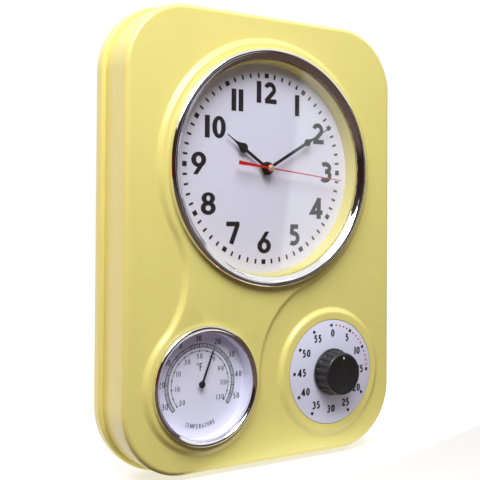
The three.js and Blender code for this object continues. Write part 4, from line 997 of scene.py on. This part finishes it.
def build_knob():
    foot, flange = TIMER_DISC_Z + 1.2, TIMER_DISC_Z + 3.0
    front = KNOB_FRONT_Z
    rows = [(17.4, foot, 0), (18.0, foot + 0.3, 0), (18.0, flange - 0.4, 0), (17.7, flange, 0)]
    rows += [(17.1, flange + 0.1, 0.0), (17.0, flange + 0.5, 0.9), (16.9, flange + 1.4, 1.2)]
    rows += [(16.4, front - 3.2, 1.1), (16.25, front - 2.3, 0.9), (16.15, front - 1.7, 0.25)]
    rows += [(16.0, front - 1.3, 0), (15.7, front - 0.6, 0), (15.0, front - 0.15, 0), (14.2, front, 0)]
    rows += [(13.7, front, 0), (13.3, front - 0.25, 0), (6, front - 0.3, 0)]
    count = KNOB_FLUTES * FLUTE_POINTS
    bore_r, bore_top = 9, foot + 1.2
    bm = bmesh.new()
    loops = [add_loop(bm, circle(TIMER, bore_r, count), z) for z in (bore_top, foot)]
    for radius, z, depth in rows:
        outline = wavy_circle(TIMER, count, lambda i: radius - depth * flute(i))
        loops.append(add_loop(bm, outline, z))
    strips(bm, loops)
    fan(bm, loops[-1], bm.verts.new(place(*TIMER, front - 0.3)))
    fan(bm, loops[0][::-1], bm.verts.new(place(*TIMER, bore_top)))
    finish_mesh("knob_body", bm, KNOB_BLACK, "timer", ["timer_knob"], sharp=45)
    mark = [(TIMER.x - 0.95, TIMER.y + 12.9), (TIMER.x + 0.95, TIMER.y + 12.9), (TIMER.x, TIMER.y + 10.9)]
    slab("knob_mark", [mark], front - 0.26, front - 0.14, INK_WHITE, "timer")


build_timer_disc()
build_knob()


# ---- back of the casing
def build_hanger():
    low, high = node_box("hanger_plate")
    plate = rounded_rectangle(25.2, 25.2, 1.2, (0, (low.y + high.y) / 2), 6)
    eye, slot_half, slot_top = 4.8, 2.2, HANGER_Y + 5.6
    reach = math.asin(slot_half / eye)
    keyhole = arc((0, HANGER_Y - 1), eye, math.pi / 2 + reach, math.pi / 2 - reach + 2 * math.pi, 40)
    keyhole += arc((0, slot_top - slot_half), slot_half, 0, math.pi, 14)
    stakes = [circle((x, HANGER_Y - 13), 1.1, 20) for x in (-10.4, 10.4)]
    slab(
        "hanger_sheet", [plate, keyhole, *stakes], low.z, high.z, STEEL, "casing", ["hanger_plate"],
        holes=True, bevel=0.15,
    )


def cross_recess_screw(name, at, head_z, point_z, head_r, shank_r, replaces):
    """A pan-head screw with a cross recess. It runs from its head to its point, either way along z."""
    into = 1 if point_z > head_z else -1
    bm = bmesh.new()
    head_height = head_r * 0.6
    rings = [(head_r * t, head_z + into * head_height * 0.55 * t**3) for t in (0.4, 0.6, 0.8, 0.93, 1.0)]
    rings += [(head_r, head_z + into * head_height), (shank_r, head_z + into * head_height)]
    pitch = 0.9
    turns = int((abs(point_z - head_z) - head_height - shank_r * 1.6) / pitch)
    start = head_z + into * (head_height + 0.2)
    for i in range(turns):
        rings.append((shank_r, start + into * pitch * (i + 0.25)))
        rings.append((shank_r * 0.78, start + into * pitch * (i + 0.75)))
    arms = wavy_circle(at, 24, lambda i: head_r * (0.62 if i % 6 in (0, 1, 5) else 0.2))
    floor = add_loop(bm, arms, head_z + into * head_height * 0.6)
    bm.faces.new(floor)
    loops = [floor, add_loop(bm, arms, head_z)]
    loops += [add_loop(bm, circle(at, r, 24), z) for r, z in rings]
    strips(bm, loops)
    fan(bm, loops[-1], bm.verts.new(place(*at, point_z)))
    bmesh.ops.recalc_face_normals(bm, faces=bm.faces)
    finish_mesh(name, bm, ZINC, "casing", [replaces], sharp=40)


def build_screws():
    for i, at in enumerate(SCREW_PLACES):
        name = f"housing_screw_{i + 1}"
        cross_recess_screw(f"cover_screw_{i + 1}", at, 7.0, 24, 3.1, 1.4, name)
    for i in (1, 2):
        name = f"carrier_screw_{i}"
        cross_recess_screw(f"dial_screw_{i}", node_centre(name), 29.0, 37.6, 2.4, 1.0, name)
        name = f"timer_screw_{i}"
        cross_recess_screw(f"plate_screw_{i}", node_centre(name), 42.6, 33.6, 2.8, 1.4, name)


def build_battery():
    """A plain AA cell: sleeve, band, shrink edges, button and base."""
    low, high = node_box("battery")
    y, z = (low.y + high.y) / 2, (low.z + high.z) / 2
    radius = (high.y - low.y) / 2

    def spun(name, profile, material, replaces=()):
        bm = bmesh.new()
        rings = []
        for radius, x in profile:
            rings.append([bm.verts.new(place(x, v, w)) for v, w in circle((y, z), radius, 48)])
        strips(bm, rings)
        bm.faces.new(rings[0])
        bm.faces.new(rings[-1])
        bmesh.ops.recalc_face_normals(bm, faces=bm.faces)
        finish_mesh(name, bm, material, "casing", replaces, sharp=40)

    band = high.x - 16
    sleeve = [(radius - 1.6, low.x + 0.2), (radius - 0.5, low.x), (radius, low.x + 0.6), (radius, band)]
    spun("battery_sleeve", sleeve, SLEEVE_DARK, ["battery"])
    cap = [(radius, band), (radius, high.x - 2.3), (radius - 0.6, high.x - 1.7), (radius - 1.8, high.x - 1.9)]
    spun("battery_band", cap, BAND_GOLD)
    button = [(3.4, high.x - 1.9), (2.75, high.x - 1.5), (2.7, high.x - 0.3), (2.3, high.x)]
    spun("battery_button", button, BELL_STEEL)


def build_setter():
    """Knurled wheel at the back of the movement that sets the hands."""
    base, stem_top = (corner.z for corner in node_box("set_knob"))
    centre = node_centre("set_knob")
    top, teeth, tooth_depth = base + 2.4, 24, 0.35
    count = teeth * 4
    bm = bmesh.new()
    loops = [add_loop(bm, circle(centre, r, count), z) for r, z in ((3.0, base + 0.7), (3.4, base))]
    for radius, z in ((5.4, base), (5.9, base + 0.4), (5.9, top - 0.3), (5.6, top)):
        outline = wavy_circle(centre, count, lambda i: radius - (tooth_depth if i % 4 > 1 else 0))
        loops.append(add_loop(bm, outline, z))
    loops += [add_loop(bm, circle(centre, 1.2, count), z) for z in (top, stem_top)]
    strips(bm, loops)
    bm.faces.new(loops[-1])
    bm.faces.new(loops[0][::-1])
    bmesh.ops.recalc_face_normals(bm, faces=bm.faces)
    finish_mesh("setting_wheel", bm, NATURAL, "setter", ["set_knob"], sharp=40)


build_hanger()
build_screws()
build_battery()
build_setter()

# ---- CAD pieces that stay
FINISHES = {
    "brass": BRASS,
    "sheet_steel": STEEL,
    "bell_steel": BELL_STEEL,
    "screws": ZINC,
    "white_plastic": NATURAL,
    "black_plastic": BLACK_PLASTIC,
    "copper_wire": COPPER,
    "board_green": BOARD,
}
slots = {entry["node"]: entry["material_slot"] for entry in frame["record"]["subparts"]}
for node, obj in frame["nodes"].items():
    if obj.hide_render:
        continue
    obj.data.materials.clear()
    obj.data.materials.append(FINISHES[slots[node]])
    add_bevel(obj, 0.12, angle=30)

# ---- studio, in metres
FLOOR_Z = REAR_LOW.y * MM
CLOTH_Z = FLOOR_Z + 0.002
STUDIO_FRONT = -2.2
CURTAIN = (0.045, 0.021, 0.014)
RED = (0.85, 0.02, 0.03)


def card(name, corners, color=CURTAIN, shadow=True):
    """A flat curtain that the camera doesn't see. It shapes what the chrome and the lenses mirror."""
    mesh = bpy.data.meshes.new(name)
    mesh.from_pydata(corners, [], [tuple(range(len(corners)))])
    obj = bpy.data.objects.new(name, mesh)
    bpy.context.scene.collection.objects.link(obj)
    obj.visible_camera = False
    obj.visible_shadow = shadow
    material, _, shader = new_material(name)
    set_inputs(shader, Base_Color=(*color, 1), Roughness=0.9)
    mesh.materials.append(material)


def front_card(name, foot_left, foot_right, top_left, top_right, top=2.3):
    """A card across the front of the studio, from the left and right ends of its foot and its top."""
    foot = [(x, STUDIO_FRONT, FLOOR_Z) for x in (foot_left, foot_right)]
    card(name, foot + [(x, STUDIO_FRONT, top) for x in (top_right, top_left)])


def side_card(name, x, near, far, low=FLOOR_Z, high=1.0, color=CURTAIN):
    """An upright card at one side, from its near to its far edge."""
    card(name, [(x, near, low), (x, far, low), (x, far, high), (x, near, high)], color)


def build_cards():
    left, right = -1.7, 2.6
    front_card("front_curtain", -3.2, 1.58, -3.2, 1.95)
    front_card("second_curtain", 1.9, 2.8, 2.25, 2.8)
    side_card("left_curtain", left, STUDIO_FRONT, 0.7)
    side_card("right_curtain", right, STUDIO_FRONT, 0.1)
    cloth = [(left, STUDIO_FRONT), (right, STUDIO_FRONT), (right, -0.02), (0.27, -0.02)]
    cloth += [(0.05, -0.085), (-0.35, 0.06), (left, 0.06)]
    card("floor_cloth", [(x, y, CLOTH_Z) for x, y in cloth], shadow=False)
    side_card("red_card", -1.6, -0.25, 1.6, -0.16, 0.3, RED)


def build_key_light():
    location, target = Vector((-0.35, -0.62, 0.82)), Vector((0, -0.03, 0.05))
    data = bpy.data.lights.new("key", "AREA")
    data.shape = "RECTANGLE"
    data.size, data.size_y = 0.8, 0.6
    data.energy = 16.4
    light = bpy.data.objects.new("key", data)
    light.location = location
    light.rotation_euler = (target - location).to_track_quat("-Z", "Y").to_euler()
    bpy.context.scene.collection.objects.link(light)


def build_floor():
    bpy.ops.mesh.primitive_plane_add(size=12, location=(0, 0, FLOOR_Z - 0.0005))
    floor = bpy.context.object
    floor.name = "studio_floor"
    material, _, shader = new_material("studio_floor")
    set_inputs(shader, Base_Color=(0.5, 0.5, 0.5, 1), Roughness=0.8)
    set_inputs(shader, Emission_Color=(1, 1, 1, 1), Emission_Strength=0.55)
    floor.data.materials.append(material)


def build_world():
    world = bpy.data.worlds.new("studio_world")
    bpy.context.scene.world = world
    world.use_nodes = True
    set_inputs(world.node_tree.nodes["Background"], Color=(1, 1, 1, 1), Strength=1.0)


def build_camera():
    """A view from the left, level with the clock's lower half."""
    azimuth, elevation, roll = math.radians(-33.55), math.radians(-1.15), math.radians(0.37)
    distance = 0.6439
    target = Vector((-0.02714, -0.041, 0.02662))
    level = math.cos(elevation)
    back = Vector((math.sin(azimuth) * level, -math.cos(azimuth) * level, math.sin(elevation)))
    right = Vector((0, 0, 1)).cross(back).normalized()
    tilted_right = right * math.cos(roll) + back.cross(right) * math.sin(roll)
    axes = Matrix((tilted_right, back.cross(tilted_right), back)).transposed()
    data = bpy.data.cameras.new("photo_camera")
    data.sensor_width = 36
    data.lens = 66.28
    data.shift_y = -0.0802
    data.clip_start = 0.01
    camera = bpy.data.objects.new("photo_camera", data)
    camera.matrix_world = Matrix.Translation(target + back * distance) @ axes.to_4x4()
    bpy.context.scene.collection.objects.link(camera)
    bpy.context.scene.camera = camera


build_floor()
build_world()
build_camera()
build_key_light()
build_cards()
bpy.context.scene.view_settings.view_transform = "Standard"
